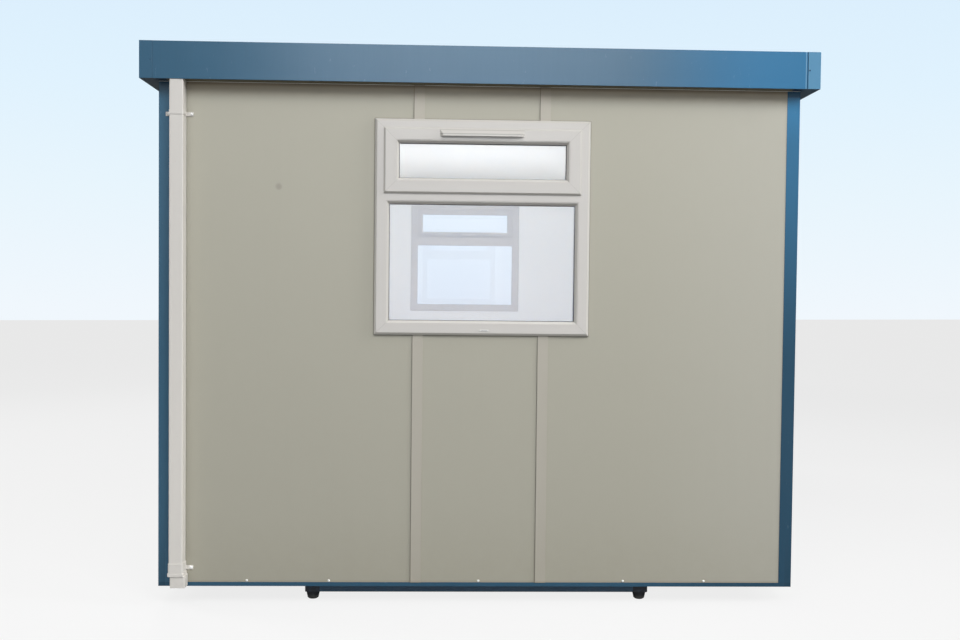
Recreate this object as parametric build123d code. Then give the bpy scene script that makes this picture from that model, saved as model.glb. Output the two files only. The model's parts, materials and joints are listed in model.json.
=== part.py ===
"""Portable site cabin: a skid-mounted cabin of steel-faced composite panels.

Units are millimetres. X runs across the cabin, Y along it and Z up. The origin is on the
ground, midway between the feet. The front end looks along -Y, the door is on the +X side.
"""
import os
from math import atan2, cos, degrees

from build123d import *

os.makedirs("parts", exist_ok=True)

# ---------------------------------------------------------------- driving dimensions
CABIN_WIDTH = 3050           # over the corner posts
CABIN_LENGTH = 4850
WALL_HEIGHT = 2395           # underside of the base rail to the soffit
FASCIA_HEIGHT = 174
SHEET = 1.5                  # folded steel

FOOT_HEIGHT = 38
FOOT_TOP_DIAMETER = 67
FOOT_BOTTOM_DIAMETER = 51
FOOT_CHAMFER = 5
FEET_PER_RUNNER = 3
RUNNER_HEIGHT = 45
RUNNER_WIDTH = 70
RUNNER_SPACING = 1600        # centre to centre
RUNNER_SETBACK = 60          # behind the end walls
CROSS_BEAM_WIDTH = 50
SECTION_WALL = 3             # hollow sections of the runners and beams
SECTION_CORNER = 5
PLUG_CAP = 4
PLUG_REACH = 22              # into the runner
PLUG_CLEARANCE = 0.3

RAIL_LIP = 19                # what shows of the base rail below the panels
RAIL_STEEL = 3
JOIST_HEIGHT = 100
JOIST_WIDTH = 50
JOIST_STEEL = 4
JOIST_COUNT = 12
DECK_THICKNESS = 18

PANEL_THICKNESS = 50
PANEL_MODULE = 1200          # panel width on the long sides
MIDDLE_PANEL = 600           # width of the middle panel at each end
SKIN_SETBACK = 2             # panel skin behind the corner posts
STRIP_WIDTH = 52
STRIP_THICKNESS = 4
POST_LEG = 61
TRIM_LEG = 25

CEILING_THICKNESS = 40
ROOF_FALL = 60               # ridge to end wall
RIDGE_CLEARANCE = 4.5        # ridge cap below the fascia's top flange
RIB_HEIGHT = 20
RIB_TOP = 28
RIB_FOOT = 60
RIB_COUNT = 16
PURLIN_WIDTH = 50
PURLINS_PER_SLOPE = 4
PURLIN_INSET = 75            # last purlin's centre behind the end wall
RIDGE_CAP_WING = 150
RIDGE_GAP = 5                # each sheet stops short of the ridge
FASCIA_TOP_FLANGE = 25
FASCIA_LIP = 10              # folded under the end fascia, to carry the soffit
FASCIA_LEG = 35
CORNER_RETURN = 59
SHEET_EDGE_GAP = 1           # roof sheets inside the side fascias
GUTTER_CLEARANCE = 10        # gutter's rim below the roof sheets
GUTTER_SIDE_GAP = 0.5
GUTTER_END_GAP = 10

PIPE = 65                    # square downpipe
PIPE_WALL = 2
PIPE_CORNER = 5
PIPE_GAP = 4.5               # between the corner post and the pipe
PIPE_STANDOFF = 2.5          # between the post's face and the pipe's back
PIPE_COVER = 4.5             # fascia in front of the pipe
PIPE_HOLE_GAP = 1
SPIGOT = 58
SPIGOT_DROP = 45
CLIP_DROP = 153              # soffit to the centre of the top clip
CLIP_HEIGHT = 20
CLIP_STRAP = 2
CLIP_EAR = 32
CLIP_EAR_THICKNESS = 3
LUG_LEVEL = 90               # centre of the socket's lug above the base rail's underside
SOCKET_TOP = 123
SOCKET_SEAT = 72             # where the pipe stands in the socket
SOCKET_BOTTOM = 62
SOCKET_WALL = 3
COLLAR_HEIGHT = 14
SHOE_BOTTOM = 8
SHOE_OFFSET = 8
SHOE_WIDTH = 70
SHOE_WALL = 3

WINDOW = 1025                # over the cover flange, both ways
WINDOW_DROP = 159            # soffit to the window's top edge
WINDOW_OFFSET = 5            # the hole is cut a little off the middle
WINDOW_PROUD = 18
FLANGE_LAP = 12
HOLE_CLEARANCE = 2
FRAME_BEVEL = 11
FRAME_FACE = 54
STOP_LIP = 16                # the bead and gasket hide it
STOP_DEPTH = 24
GLASS_UNIT = 24
GLASS_GAP = 3
BEAD_WIDTH = 15
BEAD_HEIGHT = 20             # beside the frame
BEAD_FLAT = 4
BEAD_EDGE = 8                # beside the glass
GASKET_WIDTH = 2
GASKET_HEIGHT = 5
FANLIGHT = 288               # transom to the frame's head
TRANSOM_FACE = 45
SASH_LAP = 11
SASH_FACE = 57
SASH_PROUD = 12
SASH_GAP = 2
SASH_EDGE = 8
SASH_STOP_DEPTH = 10
VENT_LENGTH = 400
VENT_OFFSET = -5             # from the window's middle
VENT_HEIGHT = 31
VENT_DEPTH = 14
VENT_LIP = 10                # upright front, below the slope
VENT_DROP = 8                # below the top edge of the sash
CATCH_PLATE = (70, 26, 6)
CATCH_NECK = (7, 24)         # radius and reach
CATCH_LEVER = (112, 16, 9)
CATCH_CORNER = 5             # cut off the plate and the lever

DOOR_OPENING = 900
DOOR_HEIGHT = 2030
DOOR_FRAME_FACE = 45
DOOR_FRAME_LAP = 12
DOOR_LEAF = 42
DOOR_STOP = 15
DOOR_GAP = 3
THRESHOLD_RISE = 2           # above the deck
THRESHOLD_PLATE = 4
THRESHOLD_NOSE = 22          # beyond the wall
THRESHOLD_FALL = 6           # across the nose
DRIP_EDGE = (2, 6)           # thickness and drop
HINGE_COUNT = 3
HINGE_PLATE = (52, 100, 2.5)
HINGE_KNUCKLE = 7            # radius
HINGE_INSET = 200            # from the leaf's top and bottom
HANDLE_LEVEL = 1050          # above the deck
HANDLE_BACKSET = 60
HANDLE_PLATE = (44, 220, 6)
HANDLE_PLATE_CORNER = 12
HANDLE_NECK = (9, 42)        # radius and reach
HANDLE_RISE = 50             # lever above the plate's middle
HANDLE_LEVER = (118, 20, 12)
HANDLE_LEVER_CORNER = 4
HANDLE_OVERLAP = 11          # lever past the neck's axis
LOCK_BARREL = (8.5, 9)       # radius and height
LOCK_DROP = 42

# ---------------------------------------------------------------- levels and planes
BASE = FOOT_HEIGHT + RUNNER_HEIGHT
PANEL_FOOT = BASE + RAIL_LIP
DECK_TOP = BASE + JOIST_HEIGHT + DECK_THICKNESS
SOFFIT = BASE + WALL_HEIGHT
HALF_WIDTH = CABIN_WIDTH / 2
HALF_LENGTH = CABIN_LENGTH / 2
PANEL_BACK = SKIN_SETBACK + PANEL_THICKNESS
OVERHANG = PIPE_STANDOFF + PIPE + PIPE_COVER
PIPE_CENTRE = POST_LEG + PIPE_GAP + PIPE / 2 - HALF_WIDTH
PIPE_AXIS = PIPE_STANDOFF + PIPE / 2
ROOF_RISE = FASCIA_HEIGHT - RIDGE_CLEARANCE - RIB_HEIGHT - 3 * SHEET
SLOPE = atan2(ROOF_FALL, HALF_LENGTH)
DOOR_CENTRE = -PANEL_MODULE / 2
SILL = SOFFIT - WINDOW_DROP - WINDOW
TRANSOM_HIGH = SILL + WINDOW - FRAME_FACE - FANLIGHT
TRANSOM_LOW = TRANSOM_HIGH - TRANSOM_FACE
STOP_FACE = STOP_DEPTH - PANEL_BACK
SASH_FRONT = WINDOW_PROUD + SASH_PROUD
SASH_BACK = STOP_FACE + SASH_GAP
SASH_STOP = SASH_BACK + SASH_STOP_DEPTH
ENDS = ("front", "rear")
SIDES = ("left", "right")
OUTWARD = Plane(origin=(0, 0, 0), x_dir=(0, -1, 0), z_dir=(-1, 0, 0))


# ---------------------------------------------------------------- helpers
# A wall is drawn in its own frame: x along it, z up, and outward distance along -y
# from the line of the corner posts.
def slab(x0, x1, inner, outer, z0, z1):
    """A rectangular piece of a wall, between two distances from the post line."""
    box = Box(x1 - x0, outer - inner, z1 - z0)
    return Pos((x0 + x1) / 2, -(inner + outer) / 2, (z0 + z1) / 2) * box


def run(points, half_length):
    """A profile of (outward, height) points, run along a wall."""
    face = OUTWARD * make_face(Polyline(*points, close=True))
    return extrude(face, half_length, both=True)


def mitred_run(points, half_length):
    """A run whose ends are cut at 45 degrees to meet the next wall's."""
    reach = 2 * OVERHANG
    outline = Polyline(
        (-half_length - reach, -reach),
        (half_length + reach, -reach),
        (half_length - reach, reach),
        (-half_length + reach, reach),
        close=True,
    )
    between_mitres = extrude(make_face(outline), SOFFIT + 2 * FASCIA_HEIGHT)
    return run(points, half_length + reach) & between_mitres


def mitred_ring(points, width, height):
    """A profile of (inward, outward) points carried round a rectangle that faces +Z."""
    path = Polyline(
        (0, -height / 2),
        (width / 2, -height / 2),
        (width / 2, height / 2),
        (-width / 2, height / 2),
        (-width / 2, -height / 2),
        (0, -height / 2),
    )
    across = Plane(origin=(0, -height / 2, 0), x_dir=(0, 1, 0), z_dir=(1, 0, 0))
    return sweep(across * make_face(Polyline(*points, close=True)), path=path, transition=Transition.RIGHT)


def facing_out(level, x=0):
    """A plane on the post line, facing outward, with its own y up."""
    return Plane(origin=(x, 0, level), x_dir=(1, 0, 0), z_dir=(0, -1, 0))


def on_end(piece, end):
    """Puts a piece of an end wall in place; the rear is the front's mirror image."""
    placed = Pos(0, -HALF_LENGTH, 0) * piece
    return placed if end == "front" else mirror(placed, about=Plane.XZ)


def on_side(piece, side):
    """Puts a piece of a long wall in place, on the right (+X) or the left."""
    turn = 90 if side == "right" else -90
    shift = HALF_WIDTH if side == "right" else -HALF_WIDTH
    return Pos(shift, 0, 0) * Rot(0, 0, turn) * piece


def save(name, *pieces):
    """Writes one node, made of one piece or of several that don't touch."""
    solids = [solid for piece in pieces for solid in piece.solids()]
    shape = solids[0] if len(solids) == 1 else Compound(solids)
    shape.label = name
    export_step(shape, f"parts/{name}.step")


# ---------------------------------------------------------------- skids and feet
def rubber_foot():
    """A tapered rubber buffer with its lower edge bevelled."""
    top = FOOT_TOP_DIAMETER / 2
    bottom = FOOT_BOTTOM_DIAMETER / 2
    cone = Cone(bottom, top, FOOT_HEIGHT, align=(Align.CENTER, Align.CENTER, Align.MIN))
    return chamfer(cone.edges().sort_by(Axis.Z)[0], FOOT_CHAMFER)


def section_bore(width):
    """The inside of a hollow section of the skids, as a face."""
    across = width - 2 * SECTION_WALL
    return RectangleRounded(across, RUNNER_HEIGHT - 2 * SECTION_WALL, SECTION_CORNER - SECTION_WALL)


def hollow_section(width, length):
    """A hollow steel section along Y, about the origin."""
    outline = RectangleRounded(width, RUNNER_HEIGHT, SECTION_CORNER)
    return Rot(90, 0, 0) * extrude(outline - section_bore(width), length / 2, both=True)


def end_plug():
    """A moulded plug: its cap closes a runner's front end, its hollow body grips inside."""
    cap = extrude(RectangleRounded(RUNNER_WIDTH, RUNNER_HEIGHT, SECTION_CORNER), PLUG_CAP)
    body = offset(section_bore(RUNNER_WIDTH), -PLUG_CLEARANCE)
    hollow = offset(section_bore(RUNNER_WIDTH), -SECTION_WALL, kind=Kind.INTERSECTION)
    return Rot(90, 0, 0) * (cap + extrude(body - hollow, -PLUG_REACH))


def skids():
    runner_reach = HALF_LENGTH - RUNNER_SETBACK
    tube_reach = runner_reach - PLUG_CAP
    foot_reach = runner_reach - RUNNER_WIDTH / 2
    level = BASE - RUNNER_HEIGHT / 2
    runner = hollow_section(RUNNER_WIDTH, 2 * tube_reach)
    front_plug = Pos(0, -tube_reach, 0) * end_plug()
    runners = []
    plugs = []
    feet = []
    for x in (-RUNNER_SPACING / 2, RUNNER_SPACING / 2):
        runners.append(Pos(x, 0, level) * runner)
        plugs.append(Pos(x, 0, level) * front_plug)
        plugs.append(mirror(plugs[-1], about=Plane.XZ))
        for n in range(FEET_PER_RUNNER):
            y = -foot_reach + 2 * foot_reach * n / (FEET_PER_RUNNER - 1)
            feet.append(Pos(x, y, 0) * rubber_foot())
    save("skid_runners", *runners)
    save("runner_end_plugs", *plugs)
    save("rubber_feet", *feet)
    beam_reach = runner_reach - CROSS_BEAM_WIDTH / 2
    beam = Rot(0, 0, 90) * hollow_section(CROSS_BEAM_WIDTH, RUNNER_SPACING - RUNNER_WIDTH)
    save("skid_cross_beams", *[Pos(0, y, level) * beam for y in (-beam_reach, 0, beam_reach)])


# ---------------------------------------------------------------- base frame and floor
def base_rails():
    """Folded rails: a lip below the panels, a shelf that carries them and an upstand behind."""
    shelf = PANEL_FOOT
    back = -PANEL_BACK
    steel = RAIL_STEEL
    profile = [
        (0, BASE),
        (0, shelf),
        (back, shelf),
        (back, BASE + JOIST_HEIGHT),
        (back - steel, BASE + JOIST_HEIGHT),
        (back - steel, shelf - steel),
        (-steel, shelf - steel),
        (-steel, BASE),
    ]
    end_rail = mitred_run(profile, HALF_WIDTH)
    side_rail = mitred_run(profile, HALF_LENGTH)
    save("end_base_rails", *[on_end(end_rail, end) for end in ENDS])
    save("side_base_rails", *[on_side(side_rail, side) for side in SIDES])


def floor():
    """Channel joists between the side rails, under one deck."""
    half_span = HALF_WIDTH - PANEL_BACK - RAIL_STEEL
    first = HALF_LENGTH - PANEL_BACK - RAIL_STEEL - JOIST_WIDTH / 2
    steel = JOIST_STEEL
    low = BASE
    high = BASE + JOIST_HEIGHT
    half = JOIST_WIDTH / 2
    channel = [
        (half, low),
        (half, high),
        (-half, high),
        (-half, high - steel),
        (half - steel, high - steel),
        (half - steel, low + steel),
        (-half, low + steel),
        (-half, low),
    ]
    joist = run(channel, half_span)
    spots = [-first + 2 * first * n / (JOIST_COUNT - 1) for n in range(JOIST_COUNT)]
    save("floor_joists", *[Pos(0, y, 0) * joist for y in spots])
    inner_x = HALF_WIDTH - PANEL_BACK
    inner_y = HALF_LENGTH - PANEL_BACK
    deck = Box(2 * inner_x, 2 * inner_y, DECK_THICKNESS)
    save("floor_deck", Pos(0, 0, DECK_TOP - DECK_THICKNESS / 2) * deck)


# ---------------------------------------------------------------- walls
def panel(x0, x1, z0=PANEL_FOOT, z1=SOFFIT):
    """A composite panel, or the part of one between two levels."""
    return slab(x0, x1, -PANEL_BACK, -SKIN_SETBACK, z0, z1)


def window_hole():
    """The hole that the window's body stands in, inside its cover flange."""
    edge = FLANGE_LAP - HOLE_CLEARANCE
    half = WINDOW / 2 - edge
    near, far = WINDOW_OFFSET - half, WINDOW_OFFSET + half
    return slab(near, far, -2 * PANEL_BACK, 0, SILL + edge, SILL + WINDOW - edge)


def end_walls():
    inner = HALF_WIDTH - PANEL_BACK
    joint = MIDDLE_PANEL / 2
    hole = window_hole()
    for end in ENDS:
        save(f"{end}_wall_left", on_end(panel(-inner, -joint) - hole, end))
        save(f"{end}_wall_right", on_end(panel(joint, inner) - hole, end))
        save(f"{end}_wall_middle", on_end(panel(-joint, joint) - hole, end))


def side_walls():
    inner = HALF_LENGTH - PANEL_BACK
    lines = [-inner, -PANEL_MODULE, 0, PANEL_MODULE, inner]
    bays = list(zip(lines, lines[1:]))
    for n, (x0, x1) in enumerate(bays, 1):
        save(f"left_wall_panel_{n}", on_side(panel(x0, x1), "left"))
    half_door = DOOR_OPENING / 2
    door_foot = BASE + JOIST_HEIGHT
    door_head = door_foot + DOOR_HEIGHT
    for n, (x0, x1) in enumerate(bays, 1):
        if not x0 < DOOR_CENTRE < x1:
            save(f"right_wall_panel_{n}", on_side(panel(x0, x1), "right"))
            continue
        near, far = DOOR_CENTRE - half_door, DOOR_CENTRE + half_door
        beside = [panel(x0, near), panel(far, x1)]
        save("right_wall_beside_door", *[on_side(piece, "right") for piece in beside])
        above_below = [panel(near, far, z0=door_head), panel(near, far, z1=door_foot)]
        save("right_wall_over_and_under_door", *[on_side(piece, "right") for piece in above_below])


def joint_strip(x, z0=PANEL_FOOT, z1=SOFFIT):
    """A cover strip over the joint between two panels."""
    half = STRIP_WIDTH / 2
    return slab(x - half, x + half, -SKIN_SETBACK, STRIP_THICKNESS - SKIN_SETBACK, z0, z1)


def joint_strips():
    ends = []
    for x in (-MIDDLE_PANEL / 2, MIDDLE_PANEL / 2):
        ends += [joint_strip(x, z1=SILL), joint_strip(x, z0=SILL + WINDOW)]
    sides = [joint_strip(x) for x in (-PANEL_MODULE, 0, PANEL_MODULE)]
    strips = [on_end(strip, end) for end in ENDS for strip in ends]
    strips += [on_side(strip, side) for side in SIDES for strip in sides]
    save("joint_strips", *strips)


def four_corners(piece):
    """A piece drawn from the front left corner inward, repeated at all four."""
    left = Pos(-HALF_WIDTH, -HALF_LENGTH, 0) * piece
    pair = [left, mirror(left, about=Plane.YZ)]
    return pair + [mirror(front, about=Plane.XZ) for front in pair]


def corner_posts():
    """Posts with a folded outer angle, and the smaller angles that trim the room's corners."""
    angle = Polyline(
        (0, 0),
        (POST_LEG, 0),
        (POST_LEG, SKIN_SETBACK),
        (SKIN_SETBACK, SKIN_SETBACK),
        (SKIN_SETBACK, POST_LEG),
        (0, POST_LEG),
        close=True,
    )
    corner = Pos(SKIN_SETBACK, SKIN_SETBACK, 0) * Rectangle(
        PANEL_THICKNESS, PANEL_THICKNESS, align=(Align.MIN, Align.MIN)
    )
    trim = Polyline(
        (PANEL_BACK, PANEL_BACK),
        (PANEL_BACK + TRIM_LEG, PANEL_BACK),
        (PANEL_BACK + TRIM_LEG, PANEL_BACK + SHEET),
        (PANEL_BACK + SHEET, PANEL_BACK + SHEET),
        (PANEL_BACK + SHEET, PANEL_BACK + TRIM_LEG),
        (PANEL_BACK, PANEL_BACK + TRIM_LEG),
        close=True,
    )
    post = Pos(0, 0, PANEL_FOOT) * extrude(make_face(angle) + corner, SOFFIT - PANEL_FOOT)
    inside = Pos(0, 0, DECK_TOP) * extrude(make_face(trim), SOFFIT - DECK_TOP)
    save("corner_posts", *four_corners(post))
    save("inside_corner_trims", *four_corners(inside))


# ---------------------------------------------------------------- roof
def roof_underside(y):
    """Level of the underside of the roof sheets, at a distance from the ridge."""
    return SOFFIT + ROOF_RISE - ROOF_FALL * abs(y) / HALF_LENGTH


def side_fascia():
    """One folded length: top flange, face, soffit and a leg up the ceiling's edge.

    It returns round both corners, over the ends of the end fascias, and closes the
    soffit under each corner.
    """
    top = SOFFIT + FASCIA_HEIGHT
    outer = OVERHANG
    profile = [
        (outer, SOFFIT),
        (outer, top),
        (outer - FASCIA_TOP_FLANGE, top),
        (outer - FASCIA_TOP_FLANGE, top - SHEET),
        (outer - SHEET, top - SHEET),
        (outer - SHEET, SOFFIT + SHEET),
        (SHEET, SOFFIT + SHEET),
        (SHEET, SOFFIT + FASCIA_LEG),
        (0, SOFFIT + FASCIA_LEG),
        (0, SOFFIT),
    ]
    fascia = mitred_run(profile, HALF_LENGTH)
    tip = HALF_LENGTH + OVERHANG
    for x0, x1 in ((-tip, -tip + SHEET), (tip - SHEET, tip)):
        fascia += slab(x0, x1, OVERHANG - CORNER_RETURN, OVERHANG, SOFFIT, top)
    for x0, x1 in ((-tip, -HALF_LENGTH), (HALF_LENGTH, tip)):
        fascia += slab(x0, x1, 0, OVERHANG, SOFFIT, SOFFIT + SHEET)
    return fascia


def end_fascia():
    """Top flange, face and a lip below, mitred at the top and let in behind the returns."""
    top = SOFFIT + FASCIA_HEIGHT
    outer = OVERHANG - SHEET
    profile = [
        (outer, SOFFIT),
        (outer, top),
        (outer - FASCIA_TOP_FLANGE, top),
        (outer - FASCIA_TOP_FLANGE, top - SHEET),
        (outer - SHEET, top - SHEET),
        (outer - SHEET, SOFFIT + SHEET),
        (outer - FASCIA_LIP, SOFFIT + SHEET),
        (outer - FASCIA_LIP, SOFFIT),
    ]
    fascia = mitred_run(profile, HALF_WIDTH)
    corner_end = HALF_WIDTH + OVERHANG
    for x0, x1 in ((-corner_end, -HALF_WIDTH), (HALF_WIDTH, corner_end)):
        fascia -= slab(x0, x1, 0, OVERHANG, SOFFIT, SOFFIT + SHEET)
    return fascia


def end_soffit():
    """The sheet that closes the eaves over an end wall. It rests on the fascia's lip."""
    low = SOFFIT + SHEET
    profile = [
        (0, low),
        (OVERHANG - 2 * SHEET, low),
        (OVERHANG - 2 * SHEET, low + SHEET),
        (SHEET, low + SHEET),
        (SHEET, SOFFIT + FASCIA_LEG),
        (0, SOFFIT + FASCIA_LEG),
    ]
    return run(profile, HALF_WIDTH)


def eaves():
    reach = PIPE / 2 + PIPE_HOLE_GAP
    near, far = PIPE_CENTRE - reach, PIPE_CENTRE + reach
    pipe_hole = slab(near, far, SHEET, OVERHANG - 2 * SHEET, SOFFIT, SOFFIT + 2 * SHEET)
    save("end_fascias", *[on_end(end_fascia() - pipe_hole, end) for end in ENDS])
    save("end_soffits", *[on_end(end_soffit() - pipe_hole, end) for end in ENDS])
    save("side_fascias", *[on_side(side_fascia(), side) for side in SIDES])


def roof_sheet():
    """A trapezoidal sheet, its ribs running down the fall from the ridge."""
    pitch = 2 * (HALF_WIDTH + OVERHANG - SHEET - SHEET_EDGE_GAP) / RIB_COUNT
    upper = []
    for n in range(RIB_COUNT):
        middle = (n - (RIB_COUNT - 1) / 2) * pitch
        upper += [
            (middle - RIB_FOOT / 2, SHEET),
            (middle - RIB_TOP / 2, SHEET + RIB_HEIGHT),
            (middle + RIB_TOP / 2, SHEET + RIB_HEIGHT),
            (middle + RIB_FOOT / 2, SHEET),
        ]
    edge = RIB_COUNT * pitch / 2
    upper = [(-edge, SHEET), *upper, (edge, SHEET)]
    lower = [(x, z - SHEET) for x, z in reversed(upper)]
    section = Plane.XZ * make_face(Polyline(*upper, *lower, close=True))
    length = HALF_LENGTH + OVERHANG / 2 - RIDGE_GAP
    sheet = Pos(0, -RIDGE_GAP, 0) * extrude(section, length)
    return Pos(0, 0, SOFFIT + ROOF_RISE) * Rot(degrees(SLOPE), 0, 0) * sheet


def roof():
    ceiling = Box(CABIN_WIDTH, CABIN_LENGTH, CEILING_THICKNESS)
    save("ceiling_panel", Pos(0, 0, SOFFIT + CEILING_THICKNESS / 2) * ceiling)
    purlins = []
    first = PURLIN_WIDTH
    last = HALF_LENGTH - PURLIN_INSET
    for n in range(PURLINS_PER_SLOPE):
        y = first + (last - first) * n / (PURLINS_PER_SLOPE - 1)
        near, far = y - PURLIN_WIDTH / 2, y + PURLIN_WIDTH / 2
        outline = [
            (near, SOFFIT + CEILING_THICKNESS),
            (near, roof_underside(near)),
            (far, roof_underside(far)),
            (far, SOFFIT + CEILING_THICKNESS),
        ]
        purlin = run(outline, HALF_WIDTH - TRIM_LEG)
        purlins += [purlin, mirror(purlin, about=Plane.XZ)]
    save("roof_purlins", *purlins)
    front = roof_sheet()
    save("roof_sheets", front, mirror(front, about=Plane.XZ))
    on_ribs = SOFFIT + ROOF_RISE + (SHEET + RIB_HEIGHT) / cos(SLOPE)
    drop = ROOF_FALL * RIDGE_CAP_WING / HALF_LENGTH
    cap = [
        (-RIDGE_CAP_WING, on_ribs - drop),
        (0, on_ribs),
        (RIDGE_CAP_WING, on_ribs - drop),
        (RIDGE_CAP_WING, on_ribs - drop + SHEET),
        (0, on_ribs + SHEET),
        (-RIDGE_CAP_WING, on_ribs - drop + SHEET),
    ]
    save("ridge_cap", run(cap, HALF_WIDTH + OVERHANG - FASCIA_TOP_FLANGE))


# ---------------------------------------------------------------- rainwater
def square_tube(outer, wall, length, corner=0):
    """A square tube standing on the XY plane."""
    if corner:
        section = RectangleRounded(outer, outer, corner) - RectangleRounded(
            outer - 2 * wall, outer - 2 * wall, corner - wall
        )
    else:
        section = Rectangle(outer, outer) - Rectangle(outer - 2 * wall, outer - 2 * wall)
    return extrude(section, length)


def box_gutter():
    """An open gutter on the soffit, behind the fascia, with a spigot into the downpipe."""
    inner = SHEET + GUTTER_SIDE_GAP
    outer = OVERHANG - 2 * SHEET - GUTTER_SIDE_GAP
    low = SOFFIT + 2 * SHEET
    high = SOFFIT + ROOF_RISE - ROOF_FALL - GUTTER_CLEARANCE
    half = HALF_WIDTH + OVERHANG - GUTTER_END_GAP
    trough = slab(-half, half, inner, outer, low, high)
    trough -= slab(-half + SHEET, half - SHEET, inner + SHEET, outer - SHEET, low + SHEET, high)
    at_pipe = Pos(PIPE_CENTRE, -PIPE_AXIS, low - SPIGOT_DROP)
    inside = SPIGOT - 2 * PIPE_WALL
    bore = Pos(0, 0, SPIGOT_DROP) * Box(inside, inside, 2 * SPIGOT_DROP)
    return trough - at_pipe * bore + at_pipe * square_tube(SPIGOT, PIPE_WALL, SPIGOT_DROP)


def downpipe():
    top = SOFFIT + 2 * SHEET
    foot = BASE + SOCKET_SEAT
    return Pos(PIPE_CENTRE, -PIPE_AXIS, foot) * square_tube(PIPE, PIPE_WALL, top - foot, PIPE_CORNER)


def rounded_block(width, depth, corner, low, high):
    """A block with rounded uprights about the pipe's axis, between two levels."""
    return Pos(0, -PIPE_AXIS, low) * extrude(RectangleRounded(width, depth, corner), high - low)


def pipe_clip():
    """A strap round the pipe, with one ear on the corner post and one on the panel."""
    back = -SKIN_SETBACK
    half = PIPE / 2
    outer = PIPE + 2 * CLIP_STRAP
    clip = rounded_block(outer, outer, PIPE_CORNER + CLIP_STRAP, 0, CLIP_HEIGHT)
    clip += slab(-outer / 2, 0, 0, PIPE_AXIS, 0, CLIP_HEIGHT)
    clip += slab(0, outer / 2, back, PIPE_AXIS, 0, CLIP_HEIGHT)
    clip += slab(-half - CLIP_EAR, -half, 0, CLIP_EAR_THICKNESS, 0, CLIP_HEIGHT)
    clip += slab(half, half + CLIP_EAR, back, back + CLIP_EAR_THICKNESS, 0, CLIP_HEIGHT)
    clip -= rounded_block(PIPE, PIPE, PIPE_CORNER, 0, CLIP_HEIGHT)
    return Pos(PIPE_CENTRE, 0, SOFFIT - CLIP_DROP - CLIP_HEIGHT / 2) * clip


def pipe_shoe():
    """The socket at the foot of the pipe, with its lug, and the offset shoe below it."""
    outer = PIPE + 2 * SOCKET_WALL
    collar = outer + 2 * SOCKET_WALL
    neck = SOCKET_BOTTOM - SHOE_WALL
    throat = PIPE / 2 - SHOE_WALL
    shoe_half = SHOE_WIDTH / 2 - SHOE_WALL
    near, far = PIPE_AXIS - throat, PIPE_AXIS + throat
    back = -SKIN_SETBACK
    lug_low = LUG_LEVEL - CLIP_HEIGHT / 2
    body = rounded_block(outer, outer, PIPE_CORNER + SOCKET_WALL, SOCKET_BOTTOM, SOCKET_TOP)
    body += rounded_block(
        collar, collar, PIPE_CORNER + 2 * SOCKET_WALL, SOCKET_BOTTOM, SOCKET_BOTTOM + COLLAR_HEIGHT
    )
    body &= slab(-collar, collar, 0, OVERHANG, 0, SOCKET_TOP)
    body += slab(outer / 2 - SOCKET_WALL, outer / 2, back, PIPE_AXIS, lug_low, lug_low + CLIP_HEIGHT)
    body += slab(
        outer / 2, outer / 2 + CLIP_EAR, back, back + CLIP_EAR_THICKNESS, lug_low, lug_low + CLIP_HEIGHT
    )
    body -= rounded_block(PIPE, PIPE, PIPE_CORNER, SOCKET_SEAT, SOCKET_TOP)
    body += Pos(SHOE_OFFSET, 0, 0) * rounded_block(
        SHOE_WIDTH, PIPE, PIPE_CORNER, SHOE_BOTTOM, SOCKET_BOTTOM
    )
    body -= slab(SHOE_OFFSET - shoe_half, SHOE_OFFSET + shoe_half, near, far, SHOE_BOTTOM, neck)
    body -= slab(SHOE_OFFSET - throat, throat, near, far, neck, SOCKET_SEAT)
    return Pos(PIPE_CENTRE, 0, BASE) * body


def rainwater():
    save("box_gutters", *[on_end(box_gutter(), end) for end in ENDS])
    save("downpipes", *[on_end(downpipe(), end) for end in ENDS])
    save("pipe_clips", *[on_end(pipe_clip(), end) for end in ENDS])
    save("pipe_shoes", *[on_end(pipe_shoe(), end) for end in ENDS])


# ---------------------------------------------------------------- windows
def window_frame():
    """The outer frame with its cover flange and inner stop, and the transom across it."""
    back = -PANEL_BACK
    lip = FRAME_FACE + STOP_LIP
    ring = mitred_ring(
        [
            (0, 0),
            (0, WINDOW_PROUD - FRAME_BEVEL),
            (FRAME_BEVEL, WINDOW_PROUD),
            (FRAME_FACE, WINDOW_PROUD),
            (FRAME_FACE, STOP_FACE),
            (lip, STOP_FACE),
            (lip, back),
            (FLANGE_LAP, back),
            (FLANGE_LAP, 0),
        ],
        WINDOW,
        WINDOW,
    )
    transom = run(
        [
            (WINDOW_PROUD, TRANSOM_LOW),
            (WINDOW_PROUD, TRANSOM_HIGH),
            (STOP_FACE, TRANSOM_HIGH),
            (STOP_FACE, TRANSOM_HIGH + STOP_LIP),
            (back, TRANSOM_HIGH + STOP_LIP),
            (back, TRANSOM_LOW - STOP_LIP),
            (STOP_FACE, TRANSOM_LOW - STOP_LIP),
            (STOP_FACE, TRANSOM_LOW),
        ],
        WINDOW / 2 - FRAME_FACE,
    )
    return facing_out(SILL + WINDOW / 2) * ring + transom


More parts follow.
